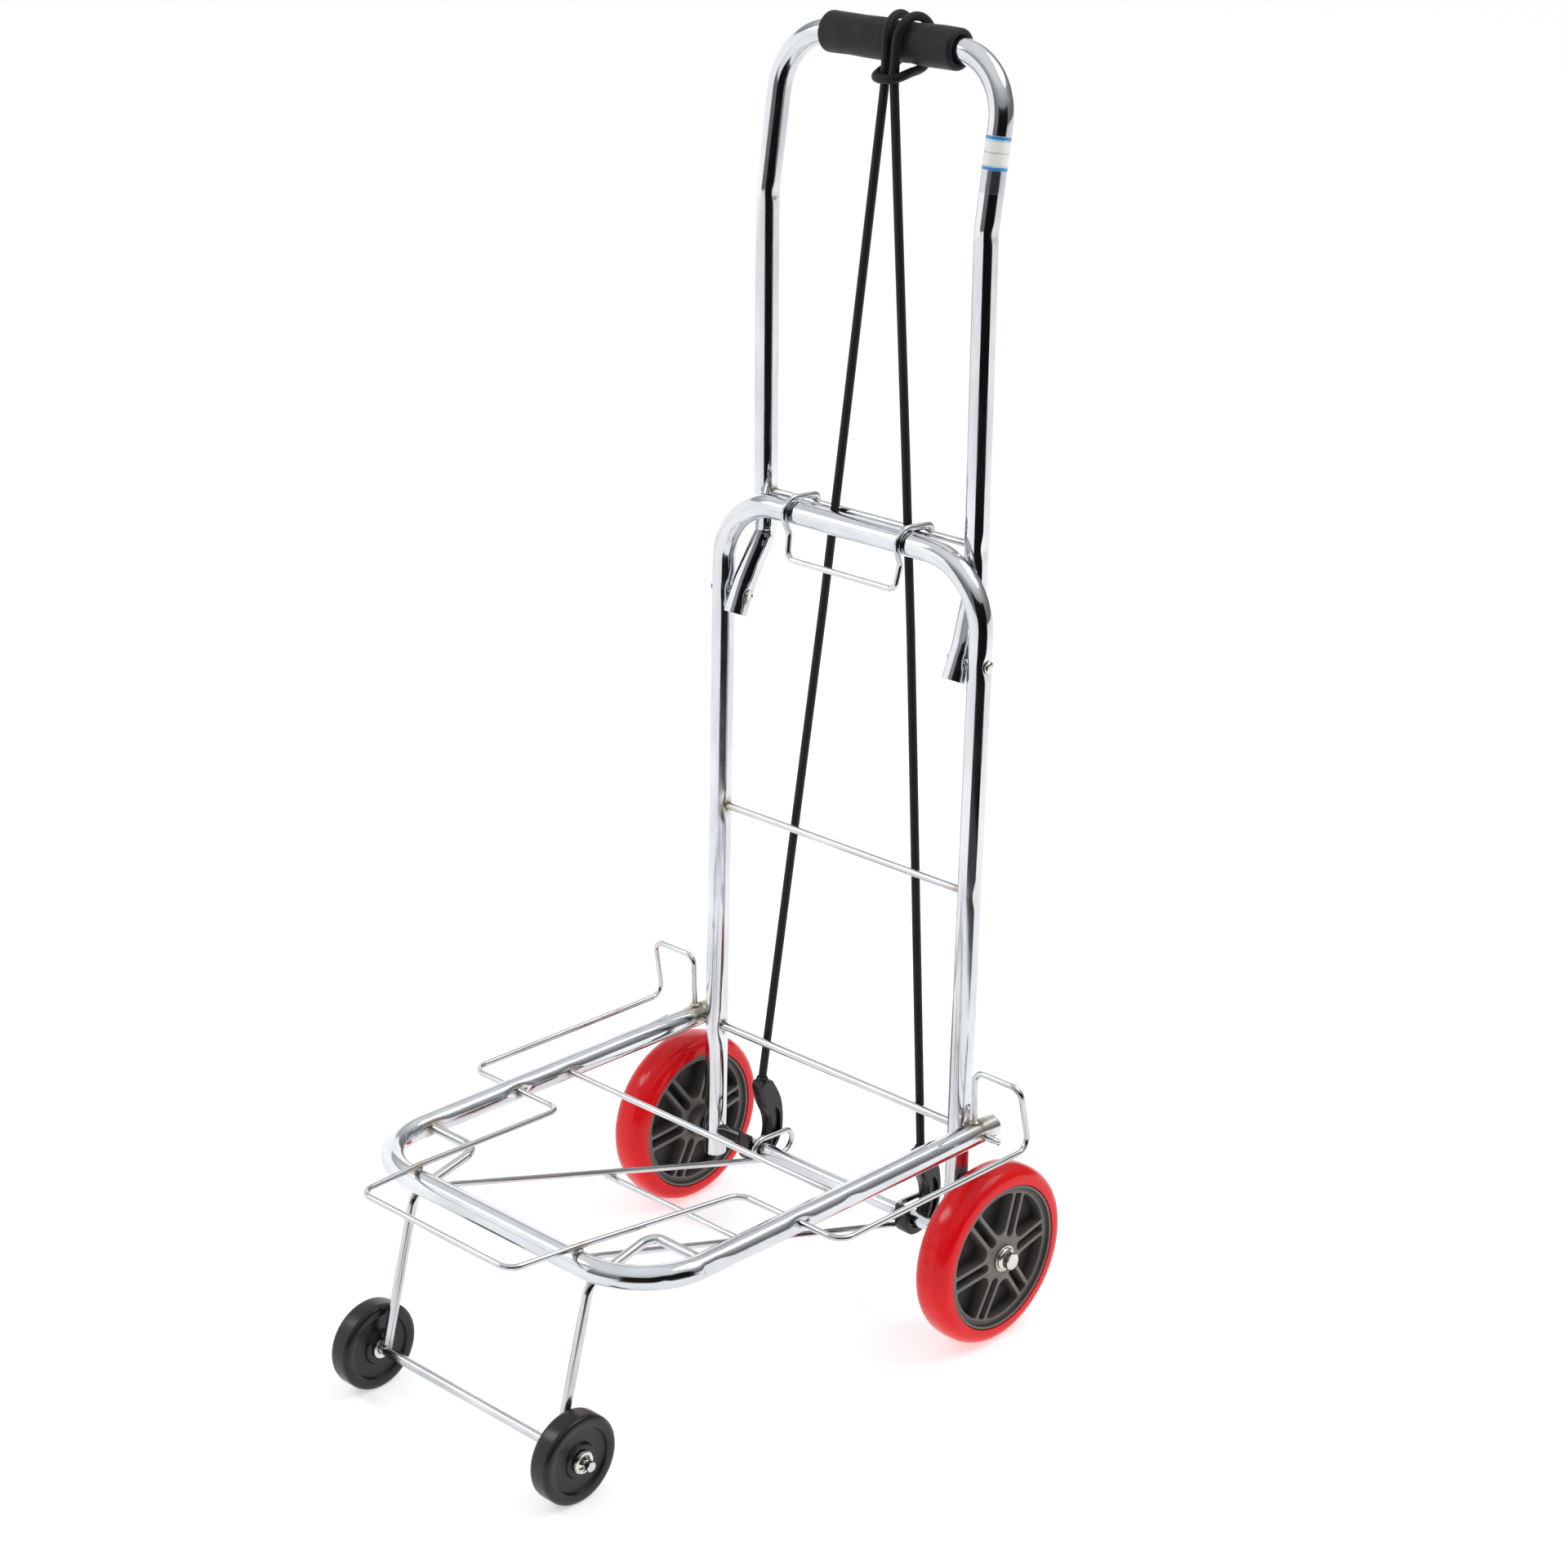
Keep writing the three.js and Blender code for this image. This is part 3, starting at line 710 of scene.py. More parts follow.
def rear_axle():
    """Thick between the legs, turned down where the wheels sit."""
    half = [
        (60, 6.0), (149.4, 6.0), (150.2, 5.6), (150.6, 5.0), (192.2, 5.0), (193, 4.2), (193, 0.01),
    ]
    part = turned(mirrored(half), 0, AXLE_Z, 48, closed=False)
    model("rear_axle", "bar", part, "frame", CHROME, spots(126, 0, AXLE_Z, 5.0), 30)


frame_tube()
cross_rod("upper_crossbar", "wire", 141.8, 0, CROSS_Z, 3.0, "frame", spots(124, 0, CROSS_Z, 4.5), 24)
pivot_rod()
rear_axle()


def at_side(points, x0, s):
    return [(s * (x0 + p[0]), p[1]) for p in points]


def washer(node, s, x0, x1, r0, r1, y, z, n):
    """A plain washer with broken edges."""
    c = 0.22
    lo, hi = sorted((s * x0, s * x1))
    profile = [
        (lo, r0 + c), (lo, r1 - c), (lo + c, r1), (hi - c, r1),
        (hi, r1 - c), (hi, r0 + c), (hi - c, r0), (lo + c, r0),
    ]
    body = "frame" if node.startswith("rear") else "caster_frame"
    model(node, "plate", turned(profile, y, z, n), body, NICKEL, sharp=30)


CAP = [  # a domed skirt, a neck and a plain round end over the axle
    (188.3, 5.3), (188.3, 9.1), (188.45, 9.35), (188.8, 9.45), (189.15, 9.35), (189.7, 9.0),
    (190.15, 8.5), (190.5, 7.9), (190.75, 7.3), (190.95, 6.95), (191.3, 6.85), (195.0, 6.85),
    (195.5, 6.8), (195.85, 6.6), (196.05, 6.3), (196.15, 5.8), (196.2, 4.0), (196.2, 0.01),
]
RIVET = [  # the closed tail inside the handle's tube, the shaft and the domed head
    (105.3, 0.01), (105.2, 1.5), (104.5, 2.1), (104.25, 2.7), (104.4, 3.4), (105.0, 3.85),
    (105.6, 3.8), (105.8, 3.0), (143.3, 3.0), (143.4, 4.7), (143.7, 4.95), (144.1, 4.9),
    (144.7, 4.5), (145.2, 3.6), (145.55, 2.3), (145.7, 1.0), (145.72, 0.01),
]

for side, s in SIDES:
    part = turned(at_side(RIVET, 0, s), 0, RIVET_Z, 40, closed=False)
    model("handle_rivet_" + side, "domed", part, "frame", NICKEL, sharp=40)
    washer("rear_washer_" + side, s, 186.5, 188.0, 5.4, 10.9, 0, AXLE_Z, 64)
    part = turned(at_side(CAP, 0, s), 0, AXLE_Z, 64, closed=False)
    model("rear_nut_" + side, "cap", part, "frame", NICKEL, sharp=40)


# ---- rear wheels
def rear_tyre(side, s):
    """Round-shouldered tread: a superellipse from the rim to the crown."""
    half, low, high = 16.4, 60.9, 75.0
    profile = []
    for a in np.linspace(0, math.pi, 41):
        c, d = math.cos(a), math.sin(a)
        x = half * math.copysign(abs(c) ** 0.80, c)
        r = low + (high - low) * d ** 0.62
        r = min(r, high - 0.0022 * x * x if abs(x) > 2.5 else high)
        profile.append((x, r))
    profile = [(15.2, low - 0.05)] + profile + [(-15.2, low - 0.05)]
    part = turned(at_side(profile, WHEEL_X, s), 0, AXLE_Z, 160)
    model("rear_tyre_" + side, "cast", part, "rear_wheel_" + side, TYRE, sharp=50)


RIB_IN, RIB_OUT = 3.9, 7.1  # inner and outer face of each rib of a pair, from the pair's middle
RIM_IN, RIM_EDGE, BOSS_R = 53.4, 54.6, 11.5
SPOKES, SPOKE_START = 6, 7.4  # pairs of ribs, and the first pair's angle
POCKET_FLOOR = 2.6  # height of a pocket's floor over the hub's middle plane


def round_corners(points, radius):
    """A closed 2-D outline with every sharp corner turned into an arc of its radius."""
    pts, out = [np.array([*p, 0.0]) for p in points], []
    for i, p in enumerate(pts):
        out += corner(p, pts[i - 1], pts[(i + 1) % len(pts)], radius[i], count=6)
    return np.array(out)[:, :2]


def slot_outline(grow):
    half, first, last = RIB_IN + grow, 17.4 - grow, 52.8 + grow
    return round_corners([(first, -half), (last, -half), (last, half), (first, half)],
                         [half * 0.98, 1.3 + grow, 1.3 + grow, half * 0.98])


def sector_outline(grow):
    """Between two pairs: two rib faces, a wide fillet at the boss and the rim's arc."""
    off, outer, fillet = RIB_OUT - grow, RIM_IN + grow, 7.2 + grow
    apex = np.array([off / math.sin(math.pi / 6), 0.0])
    edge = math.asin(off / outer)
    lo, hi = -math.pi / 6 + edge, math.pi / 6 - edge
    arc = [(outer * math.cos(a), outer * math.sin(a)) for a in np.linspace(lo, hi, 9)]
    corner = 2.4 + grow
    radius = [fillet, corner] + [0] * 7 + [corner]
    for i, a in ((1, lo + 0.13), (7, hi - 0.13)):  # clear of the rounded corners
        arc[i] = (outer * math.cos(a), outer * math.sin(a))
    return round_corners([tuple(apex), *arc], radius)


def spun(outline, angle):
    c, d = math.cos(angle), math.sin(angle)
    return outline @ np.array([[c, d], [-d, c]])


def fill(loops):
    """Triangles of a flat outline with holes, as indices into the loops laid end to end."""
    flat = [[Vector((p[0], p[1], 0)) for p in loop] for loop in loops]
    return geometry.tessellate_polygon(flat)


def rib_top(r):
    """The ribs' edge stands highest at the boss and falls a little towards the rim."""
    return np.interp(r, [0, 17.0, RIM_IN + 1.2, 100], [15.6, 15.4, 12.4, 12.4])


def circle(r, n):
    return np.array([(r * math.cos(a), r * math.sin(a)) for a in ring_angles(n)])


def hub_face(part, out, x0, worn_and_painted_shade):
    """One face of the hub, looking along out: boss and ribs around twelve moulded pockets."""

    # put() also records a painted shade level for each vertex
    def put(outline, height, painted_shade_level):
        pts = np.stack([x0 + out * height, outline[:, 0], AXLE_Z + outline[:, 1]], axis=1)
        worn_and_painted_shade.extend([painted_shade_level] * len(pts))
        return pts

    pockets = []
    for k in range(SPOKES):
        middle = math.radians(SPOKE_START + 60 * k)
        pockets += [(slot_outline, middle), (sector_outline, middle + math.pi / 6)]
    edge = 0.28  # width of the rounded lip
    tops = [spun(outline(edge), angle) for outline, angle in pockets]
    loops = [circle(RIM_EDGE, 180), circle(BOSS_R, 48)[::-1], *tops]
    points = np.vstack(loops)
    part.block(put(points, rib_top(np.hypot(points[:, 0], points[:, 1])), 1.0), fill(loops))
    for top, (outline, angle) in zip(tops, pockets):
        lip, foot = spun(outline(0.0), angle), spun(outline(-0.75), angle)
        h, low = rib_top(np.hypot(top[:, 0], top[:, 1])), np.full(len(top), POCKET_FLOOR)
        # painted shade: 1 on the face, 0.55 at the lip, 0 on the pocket's floor
        rings = np.array([put(top, h, 1.0), put(lip, h - 0.32, 0.55), put(foot, low, 0.0)])
        part.ring_block(rings, rings)
        part.block(put(foot, low, 0.0), fill([foot]))


HUB_RIM = [  # height over the middle plane, radius, painted shade level (1 on open faces, 0 in the corners)
    (12.4, RIM_EDGE, 1.0), (12.9, 54.9, 0.5), (13.0, 57.4, 0.2), (13.3, 57.7, 0.0), (15.2, 58.0, 0.4),
    (15.7, 58.5, 1.0), (15.7, 59.9, 1.0), (15.3, 60.3, 1.0), (0.0, 60.4, 0.0),
]
BOSS_OUTSIDE = [
    (15.4, BOSS_R, 1.0), (15.9, 11.1, 0.8), (15.9, 5.9, 0.5), (15.5, 5.5, 0.0), (0, 5.5, 0.0),
]
BOSS_INSIDE = [  # a sleeve reaches from here to the frame's leg
    (15.4, BOSS_R, 0.6), (15.4, 14.4, 0.6), (16.2, 14.0, 0.0), (23.6, 13.6, 0.6), (24.0, 13.2, 1.0),
    (24.0, 6.9, 0.6), (23.6, 6.4, 0.0), (20.0, 6.4, 0.0), (20.0, 5.5, 0.0), (0, 5.5, 0.0),
]


def rear_hub(side, s):
    part, worn_and_painted_shade = Part(), []
    for f in BOTH:
        out = s * f
        hub_face(part, out, s * WHEEL_X, worn_and_painted_shade)
        for profile, n in ((HUB_RIM, 180), (BOSS_OUTSIDE if f > 0 else BOSS_INSIDE, 48)):
            ring = [(s * WHEEL_X + out * height, r) for height, r, _ in profile]
            turned(ring, 0, AXLE_Z, n, part, closed=False)
            worn_and_painted_shade += list(np.repeat([painted_shade_level for _, _, painted_shade_level in profile], n))
    obj = model("rear_hub_" + side, "moulded", part, "rear_wheel_" + side, HUB, sharp=30)
    # the hub's painted shade levels take the place of the weld heat: pale on the open faces, dark in the
    # pockets and corners
    obj.data.attributes["weld_heat_and_painted_shade"].data.foreach_set("value", np.array(worn_and_painted_shade, np.float32))
    join_seams(obj)


for side, s in SIDES:
    rear_tyre(side, s)
    rear_hub(side, s)


# ---- handle
def handle_points():
    right = [
        (HANDLE_PIVOT_X, -6.6, 541, 0), (HANDLE_PIVOT_X, 4.4, 567, 60), (HANDLE_X, 21.3, 606.5, 13),
        (HANDLE_X, KINK_Y, KINK_Z, 40), (HANDLE_X, GRIP_Y, GRIP_Z, 48),
    ]
    return [(-x, y, z, r) for x, y, z, r in right] + right[::-1]


def handle_tube():
    places = (
        (HANDLE_PIVOT_X, 0, RIVET_Z), (HANDLE_X, KINK_Y, KINK_Z), (109.8, 19, 606),
        (HANDLE_X, LATCH_Y, LATCH_Z),
    )
    close = [(s * x, y, z) for x, y, z in places for s in BOTH]
    line = refine(rounded(handle_points(), 4.0), 14.0, close)
    dents = []
    for s in BOTH:
        dents += [
            dent(s * HANDLE_PIVOT_X, 0, RIVET_Z, 1.3, 6, 6, (-s,)),
            dent(s * HANDLE_PIVOT_X, 0, RIVET_Z, 0.4, 7, 7, (s,)),
            dent(s * HANDLE_X, 20.7, LATCH_Z, 1.2, 7, 4.6, (-s,)),
            dent(s * HANDLE_X, KINK_Y, 877, 0.7, 5.5, 7.0, (-s,)),
            dent(s * 109.8, 15.5, 607, 1.2, 1.6, 6.0),
            dent(s * 110.0, 13.5, 601, 0.7, 2.2, 5.0),
        ]
    part = sweep(line, TUBE, n=48, inner=TUBE - 1.0, dents=dents)
    model("handle_tube", "chrome", part, "handle", CHROME, spots(101, 21, LATCH_Z, 5.0))


def grip():
    """Foam sleeve, squeezed a little where the cord is hitched round it."""
    half, radius = 65.0, 15.5
    profile = []
    for x in np.r_[-half, -64.6, np.linspace(-64, 64, 150), 64.6, half]:
        to_end = half - abs(x)
        profile.append((x, radius - 2.6 * max(0.0, 1 - to_end / 3.2) ** 2.6))
    inner = [(64.4, 11.0), (61.0, 10.0), (-61.0, 10.0), (-64.4, 11.0)]

    def wobble(x, a):
        outer = np.zeros_like(x)
        outer[: len(profile)] = 1.0
        soft = 0.16 * np.sin(x * 0.11 + 2 * a) + 0.12 * np.sin(x * 0.05 - a)
        soft = soft + 0.08 * np.sin(3 * a + 0.21 * x)
        squeeze = np.zeros_like(x)
        wander = np.clip(np.sin(a) * 0.5 + 0.5, 0, 1)
        for centre in (HITCH_X - 5.0 - 8.0 * wander, HITCH_X + 5.0 + 1.5 * wander):
            squeeze = squeeze + 0.55 * np.exp(-((x - centre) / 4.6) ** 2)
        return outer * (soft - squeeze)

    part = turned(profile + inner, GRIP_Y, GRIP_Z, 72, wobble=wobble)
    model("foam_grip", "sleeve", part, "handle", FOAM, sharp=60)


def label():
    a, b = np.array([HANDLE_X, KINK_Y, KINK_Z]), np.array([HANDLE_X, GRIP_Y, GRIP_Z])
    line = np.array([a + unit(b - a) * t for t in np.linspace(27.5, 68.5, 36)])
    part = sweep(line, TUBE + 0.14, n=64, inner=TUBE + 0.03, edge=0.05)
    model("handle_label", "film", part, "handle", LABEL)


handle_tube()
grip()
label()
LATCH_WELDS = spots(99, LATCH_Y, LATCH_Z, 4.0)
cross_rod("latch_rod", "wire", 116.7, LATCH_Y, LATCH_Z, 3.0, "handle", LATCH_WELDS, 24)


def arc(x, radius, y, z, degrees):
    """Points of an arc about a line parallel to X."""
    turns = [math.radians(a) for a in degrees]
    return [(x, y + radius * math.cos(a), z + radius * math.sin(a), 0) for a in turns]


def latch_bail():
    """An eye round the latch rod, a hook over the frame's top bar and the thumb loop."""

    def half(s):
        eye = arc(s * 59.0, 6, LATCH_Y, LATCH_Z, np.arange(205, 436, 10))
        hook_over = arc(s * 58.5, 12.5, 0, TOP_Z, np.arange(86, 206, 8.5))
        return eye + hook_over + [(s * 57.7, -6.4, 619.6, 5), (s * 56.0, -10, 600, 7)]

    line = refine(rounded(half(-1) + half(1)[::-1], 10), 14)
    model("latch_bail", "wire", sweep(line, 2.5, 20, normal=(1, 0, 0)), "latch", WIRE)


latch_bail()


# ---- platform
def platform_tube():
    corners = [
        (-PLAT_X, PLAT_REAR, PLAT_Z), (-PLAT_X, PLAT_FRONT, PLAT_Z, PLAT_R),
        (PLAT_X, PLAT_FRONT, PLAT_Z, PLAT_R), (PLAT_X, PLAT_REAR, PLAT_Z),
    ]
    holes = ((0, PIVOT_Z), (UNDER_Y, UNDER_Z), (RAIL_Y, RAIL_Z), (WIRE_Y, WIRE_Z))
    close = [(s * PLAT_X, y, z) for s in BOTH for y, z in holes]
    line = refine(rounded(corners, 4.0), 12.0, close)
    dents = []
    for s in BOTH:
        x = s * PLAT_X
        dents += [
            dent(x, -3, PIVOT_Z, 1.2, 9, 4.6, (s,)),
            dent(x, UNDER_Y, UNDER_Z, 2.1, 12, 5.2, (-s,)),
            dent(x, RAIL_Y, RAIL_Z, 1.5, 9, 4.6),
            dent(x, WIRE_Y, WIRE_Z, 1.3, 8, 4.6, (-s,)),
        ]
    inside = PLAT_X - 8
    heat = spots(inside, UNDER_Y, UNDER_Z, 9.0) + spots(inside, RAIL_Y, RAIL_Z, 6.0)
    heat += spots(inside, WIRE_Y, WIRE_Z, 4.5) + spots(PLAT_X, -4, 184, 15.0)
    heat += spots(88, PLAT_FRONT, 184, 5.0)
    part = sweep(line, TUBE, n=48, inner=TUBE - 1.2, normal=(0, 0, 1), dents=dents)
    model("platform_tube", "chrome", part, "platform", CHROME, heat)


def rail_wire():
    """One wire: rear uprights, side rails and the front rail."""
    side, back, rise = 203, -8, 230
    right = [
        (PLAT_X, -6, 184.9, 0), (PLAT_X, back, rise, 9), (201, back, rise, 10), (side, 3, RAIL_Z, 10),
        (side, RAIL_Y, RAIL_Z, 13), (100, RAIL_Y, RAIL_Z, 12), (88, PLAT_FRONT, 187.9, 0),
        (82, -430, 189.5, 12),
    ]
    line = refine(rounded([(-x, y, z, r) for x, y, z, r in right] + right[::-1], 8), 18)
    heat = spots(PLAT_X, -6, 187, 7.0) + spots(88, PLAT_FRONT, 187, 5.0)
    model("rail_wire", "bent", sweep(line, 2.5, 20), "platform", WIRE, heat)


platform_tube()
WIRE_WELDS = spots(144, WIRE_Y, WIRE_Z, 4.0)
cross_rod("platform_cross_wire", "rod", 162.4, WIRE_Y, WIRE_Z, 2.5, "platform", WIRE_WELDS)
rail_wire()


# ---- caster frame
CASTER_LEG_X = 97

for side, s in SIDES:
    x = s * CASTER_LEG_X
    corners = [
        (s * 161.4, UNDER_Y, UNDER_Z, 0), (x, UNDER_Y, UNDER_Z, 12),
        (x, -366, 160, 14), (x, CASTER_Y + 1, CASTER_R + 4.7, 0),
    ]
    part = sweep(refine(rounded(corners, 6), 14), 4.0, 24, normal=(0, 0, 1))
    heat = [((s * 144, UNDER_Y, UNDER_Z), 6.0), ((x, CASTER_Y, CASTER_R), 8.0)]
    model("caster_leg_" + side, "rod", part, "caster_frame", WIRE, heat)
BRACE_WELDS = spots(91, BRACE_Y, BRACE_Z, 6.0)
cross_rod("caster_brace", "rod", 92.4, BRACE_Y, BRACE_Z, 3.0, "caster_frame", BRACE_WELDS)
axle = mirrored([(60, 4.0), (132.2, 4.0), (132.6, 3.6), (132.6, 0.01)])
part = turned(axle, CASTER_Y, CASTER_R, 32, closed=False)
model("front_axle", "rod", part, "caster_frame", WIRE, spots(CASTER_LEG_X, CASTER_Y, CASTER_R, 7.0), 30)


def caster(side, s):
    """Moulded wheel: flat tread, round shoulders, a sunk disc and a low boss round the bush."""
    half = [
        (0, 35.5), (5.6, 35.45), (7.4, 35.0), (8.7, 33.9), (9.4, 32.3), (9.6, 30.6), (9.35, 28.2),
        (9.0, 26.6), (8.4, 25.9), (7.6, 25.7), (6.7, 25.3), (6.3, 24.4), (6.2, 17.5), (6.3, 14.8),
        (6.8, 14.0), (8.4, 13.4), (9.0, 12.7), (9.1, 9.0), (8.9, 7.7), (8.5, 7.45),
    ]
    outline = rounded([(x, r, 0, 0.9) for x, r in half], 20)[:, :2]
    other = outline[::-1][:-1] * [-1, 1]
    profile = at_side(np.vstack([outline, other]), CASTER_X, s)
    part = turned(profile, CASTER_Y, CASTER_R, 112)
    model("caster_wheel_" + side, "moulded", part, "caster_" + side, CASTER, sharp=40)
    lo, hi = CASTER_X - 9.7, CASTER_X + 9.7
    bush = [
        (lo, 4.7), (lo, 6.8), (lo + 0.3, 7.1), (hi - 0.3, 7.1),
        (hi, 6.8), (hi, 4.7), (hi - 0.3, 4.45), (lo + 0.3, 4.45),
    ]
    part = turned(at_side(bush, 0, s), CASTER_Y, CASTER_R, 40)
    model("caster_bush_" + side, "sleeve", part, "caster_" + side, NICKEL, sharp=30)


def push_nut(side, s):
    """Spring-steel star: a domed ring with prongs that bite the axle."""
    n, prongs = 126, 7
    angles = ring_angles(n)
    tooth = np.clip((0.62 - np.abs(((angles * prongs / (2 * math.pi)) % 1) - 0.5) * 2) / 0.16, 0, 1)
    gap = 1 - tooth
    profile = (  # x and radius
        (124.25, 4.3 + 1.9 * gap), (124.25, 7.9), (124.4, 8.4), (124.75, 8.5), (125.0, 8.2), (125.1, 7.2),
        (125.3, 6.5 + 0.3 * gap), (126.0 - 0.7 * gap, 5.3 + 1.2 * gap),
        (127.0 - 1.9 * gap, 4.25 + 2.1 * gap), (126.6 - 1.9 * gap, 4.15 + 2.0 * gap),
    )
    rings = []
    for x, r in profile:
        x = np.broadcast_to(x, n)
        rings.append(np.stack([s * x, CASTER_Y + r * np.cos(angles), CASTER_R + r * np.sin(angles)], axis=1))
    rings, part = np.array(rings), Part()
    part.ring_block(rings, rings, along=True)
    model("caster_push_nut_" + side, "star", part, "caster_frame", NICKEL, sharp=30)


for side, s in SIDES:
    caster(side, s)
    washer("caster_washer_inner_" + side, s, 101.4, 102.6, 4.5, 8.0, CASTER_Y, CASTER_R, 48)
    washer("caster_washer_outer_" + side, s, 122.8, 124.0, 4.5, 8.9, CASTER_Y, CASTER_R, 48)
    push_nut(side, s)


# ---- fold link
def link_wires():
    """Two long wires from the caster brace to the axle, each ending in a long ring round it."""
    low, axle = np.array([BRACE_Y, BRACE_Z]), np.array([0.0, AXLE_Z])
    e = unit(axle - low)
    n = np.array([-e[1], e[0]])
    tilt = math.radians(11)
    u = e * math.cos(tilt) + n * math.sin(tilt)
    v = n * math.cos(tilt) - e * math.sin(tilt)
    w, length = 9.9, 27.0  # half width and straight length of the ring
    c = axle - 0.8 * u - 0.75 * v

    def bow(centre, radius, p, q, degrees):
        turns = [math.radians(a) for a in degrees]
        return [centre + radius * (math.cos(a) * p + math.sin(a) * q) for a in turns]

    path = bow(low, 6.1, -e, n, np.arange(-165, 81, 12.25))
    path += [c - w * v, c + length * u - w * v]
    path += bow(c + length * u, w, u, v, range(-75, 91, 15)) + bow(c, w, u, v, range(90, 206, 15))
    for side, s in SIDES:
        line = refine(np.array([(s * LINK_X, p[0], p[1]) for p in path]), 16)
        model("link_wire_" + side, "bent", sweep(line, 2.5, 20, normal=(1, 0, 0)), "fold_link", WIRE)
    y, z = low + 184 * e - 7.75 * n
    cross_rod("link_cross_wire", "rod", 86, y, z, 2.5, "fold_link", spots(LINK_X, y, z, 5.0))
    return y, z


LINK_CROSS = link_wires()


# ---- welds
def bead(part, centre, size, seed):
    """One lumpy weld bead, closed at both poles."""
    r = np.random.default_rng(seed)
    phase = r.uniform(0, 6.28, 6)
    rows, n = 11, 18
    t = np.linspace(0.04, math.pi - 0.04, rows)
    a = ring_angles(n)
    t, a = t[:, None], a[None, :]
    lump = (
        0.10 * np.sin(2 * a + 3 * t + phase[0])
        + 0.07 * np.sin(3 * a - 4 * t + phase[1])
        + 0.05 * np.sin(5 * a + 6 * t + phase[2])
    )
    lump = 1 + lump * np.sin(t)
    pts = np.stack([
        np.cos(t) * np.ones_like(a) * size[0],
        np.sin(t) * np.cos(a) * lump * size[1],
        np.sin(t) * np.sin(a) * lump * size[2],
    ], axis=2) + np.array(centre, float)
    part.close(part.ring_block(pts, pts), rows, n)


def welds(body, beads):
    """Each bead: x on both sides, y, z and its three half sizes."""
    part = Part()
    places = [((s * x, y, z), size) for x, y, z, size in beads for s in BOTH]
    for i, (centre, size) in enumerate(places):
        bead(part, centre, size, 11 + i)
    make("welds_" + body, part, body, WELD, sharp=60)


welds("platform", [
    (PLAT_X, -5.6, 185.0, (4.2, 4.4, 1.9)), (88.6, PLAT_FRONT + 1.0, 184.9, (3.4, 4.2, 1.5)),
])
welds("caster_frame", [
    (CASTER_LEG_X, CASTER_Y + 0.6, CASTER_R + 3.9, (4.6, 4.3, 2.4)),
    (93.0, BRACE_Y, BRACE_Z, (2.0, 3.9, 3.9)),
])
welds("fold_link", [(LINK_X, LINK_CROSS[0] + 0.6, LINK_CROSS[1] + 2.6, (3.2, 3.2, 1.7))])


# ---- hooks
HOOK_OUTLINE = [
    (13.6, 132.6), (16.4, 129.5), (21.6, 121), (26, 111), (28.2, 98), (28.2, 86), (26.2, 77.5),
    (21.6, 70), (15, 65), (8, 62.3), (0, 61.4), (-7.4, 63), (-12, 67.6), (-13.7, 74.5), (-13.7, 87.5),
    (-8.7, 87.5), (-8.6, 75), (-7, 70.6), (-3, 68.1), (2, 67.6), (7.4, 69), (11.4, 72.4), (14, 77.5),
    (15.2, 84), (14.8, 91), (12.4, 100), (6, 112.5), (2.2, 126), (2.6, 130.6), (5, 132.6),
]
HOOK_RECESS = [
    (18.0, 105.5), (21.6, 104.0), (24.6, 98), (25.0, 87), (23.2, 79.2), (19.2, 72.8), (13.6, 68.2), (9.6, 66.2),
    (12.6, 69.4), (16.2, 74.4), (18.4, 82), (18.2, 91), (16.4, 98),
]


def smooth_outline(points, count):
    """A closed Catmull-Rom curve through the points."""
    p = np.array(points, float)
    out = []
    for i in range(len(p)):
        a, b, c, d = p[i - 1], p[i], p[(i + 1) % len(p)], p[(i + 2) % len(p)]
        for t in np.arange(count) / count:
            square, cube = 2 * a - 5 * b + 4 * c - d, 3 * b - a - 3 * c + d
            out.append(0.5 * (2 * b + (c - a) * t + square * t * t + cube * t ** 3))
    return np.array(out)


def inset(outline, by):
    """Each point moved inwards along its normal; the outline runs either way round."""
    ahead, behind = np.roll(outline, -1, 0), np.roll(outline, 1, 0)
    t = ahead - behind
    t /= np.maximum(np.linalg.norm(t, axis=1), 1e-9)[:, None]
    area = 0.5 * np.sum(outline[:, 0] * ahead[:, 1] - ahead[:, 0] * outline[:, 1])
    n = np.stack([-t[:, 1], t[:, 0]], axis=1) * (1 if area > 0 else -1)
    return outline + n * by


def hook(side):
    x0 = HOOK_X[side]
    half = 6.3  # half of the hook's thickness
    outer, recess = smooth_outline(HOOK_OUTLINE, 4), smooth_outline(HOOK_RECESS, 4)

    def place(outline, x):
        return np.stack([np.full(len(outline), x0 + x), outline[:, 0], outline[:, 1]], axis=1)

    edge, soft, floor = inset(outer, 0.55), inset(outer, 0.15), inset(recess, 0.5)
    part = Part()
    rings = np.array([
        place(edge, -half), place(soft, -6.0), place(outer, -5.5),
        place(outer, 5.5), place(soft, 6.0), place(edge, half),
    ])
    part.ring_block(rings, rings)
    for s in BOTH:
        part.block(place(np.vstack([edge, recess]), s * half), fill([edge, recess]))
        walls = np.array([
            place(recess, s * half), place(inset(recess, 0.25), s * 6.0), place(floor, s * 3.6),
        ])
        part.ring_block(walls, walls)
        part.block(place(floor, s * 3.6), fill([floor]))
    join_seams(model("hook_" + side, "moulded", part, "frame", HOOK, sharp=34))
    # the socket that grips the cord's end
    sleeve = [
        (132.0, 5.3), (132.9, 5.5), (134.6, 5.0), (136.2, 4.4), (136.5, 3.9), (136.2, 3.55), (132.0, 3.55),
    ]
    n = 36
    a = ring_angles(n)
    rings = np.array([
        np.stack([x0 + r * np.cos(a) * 1.05, 8.0 + r * np.sin(a), np.full(n, z)], axis=1) for z, r in sleeve
    ])
    socket = Part()
    socket.ring_block(rings, rings, along=True)
    make("hook_%s_socket" % side, socket, "frame", HOOK, sharp=40)


hook("left")
hook("right")


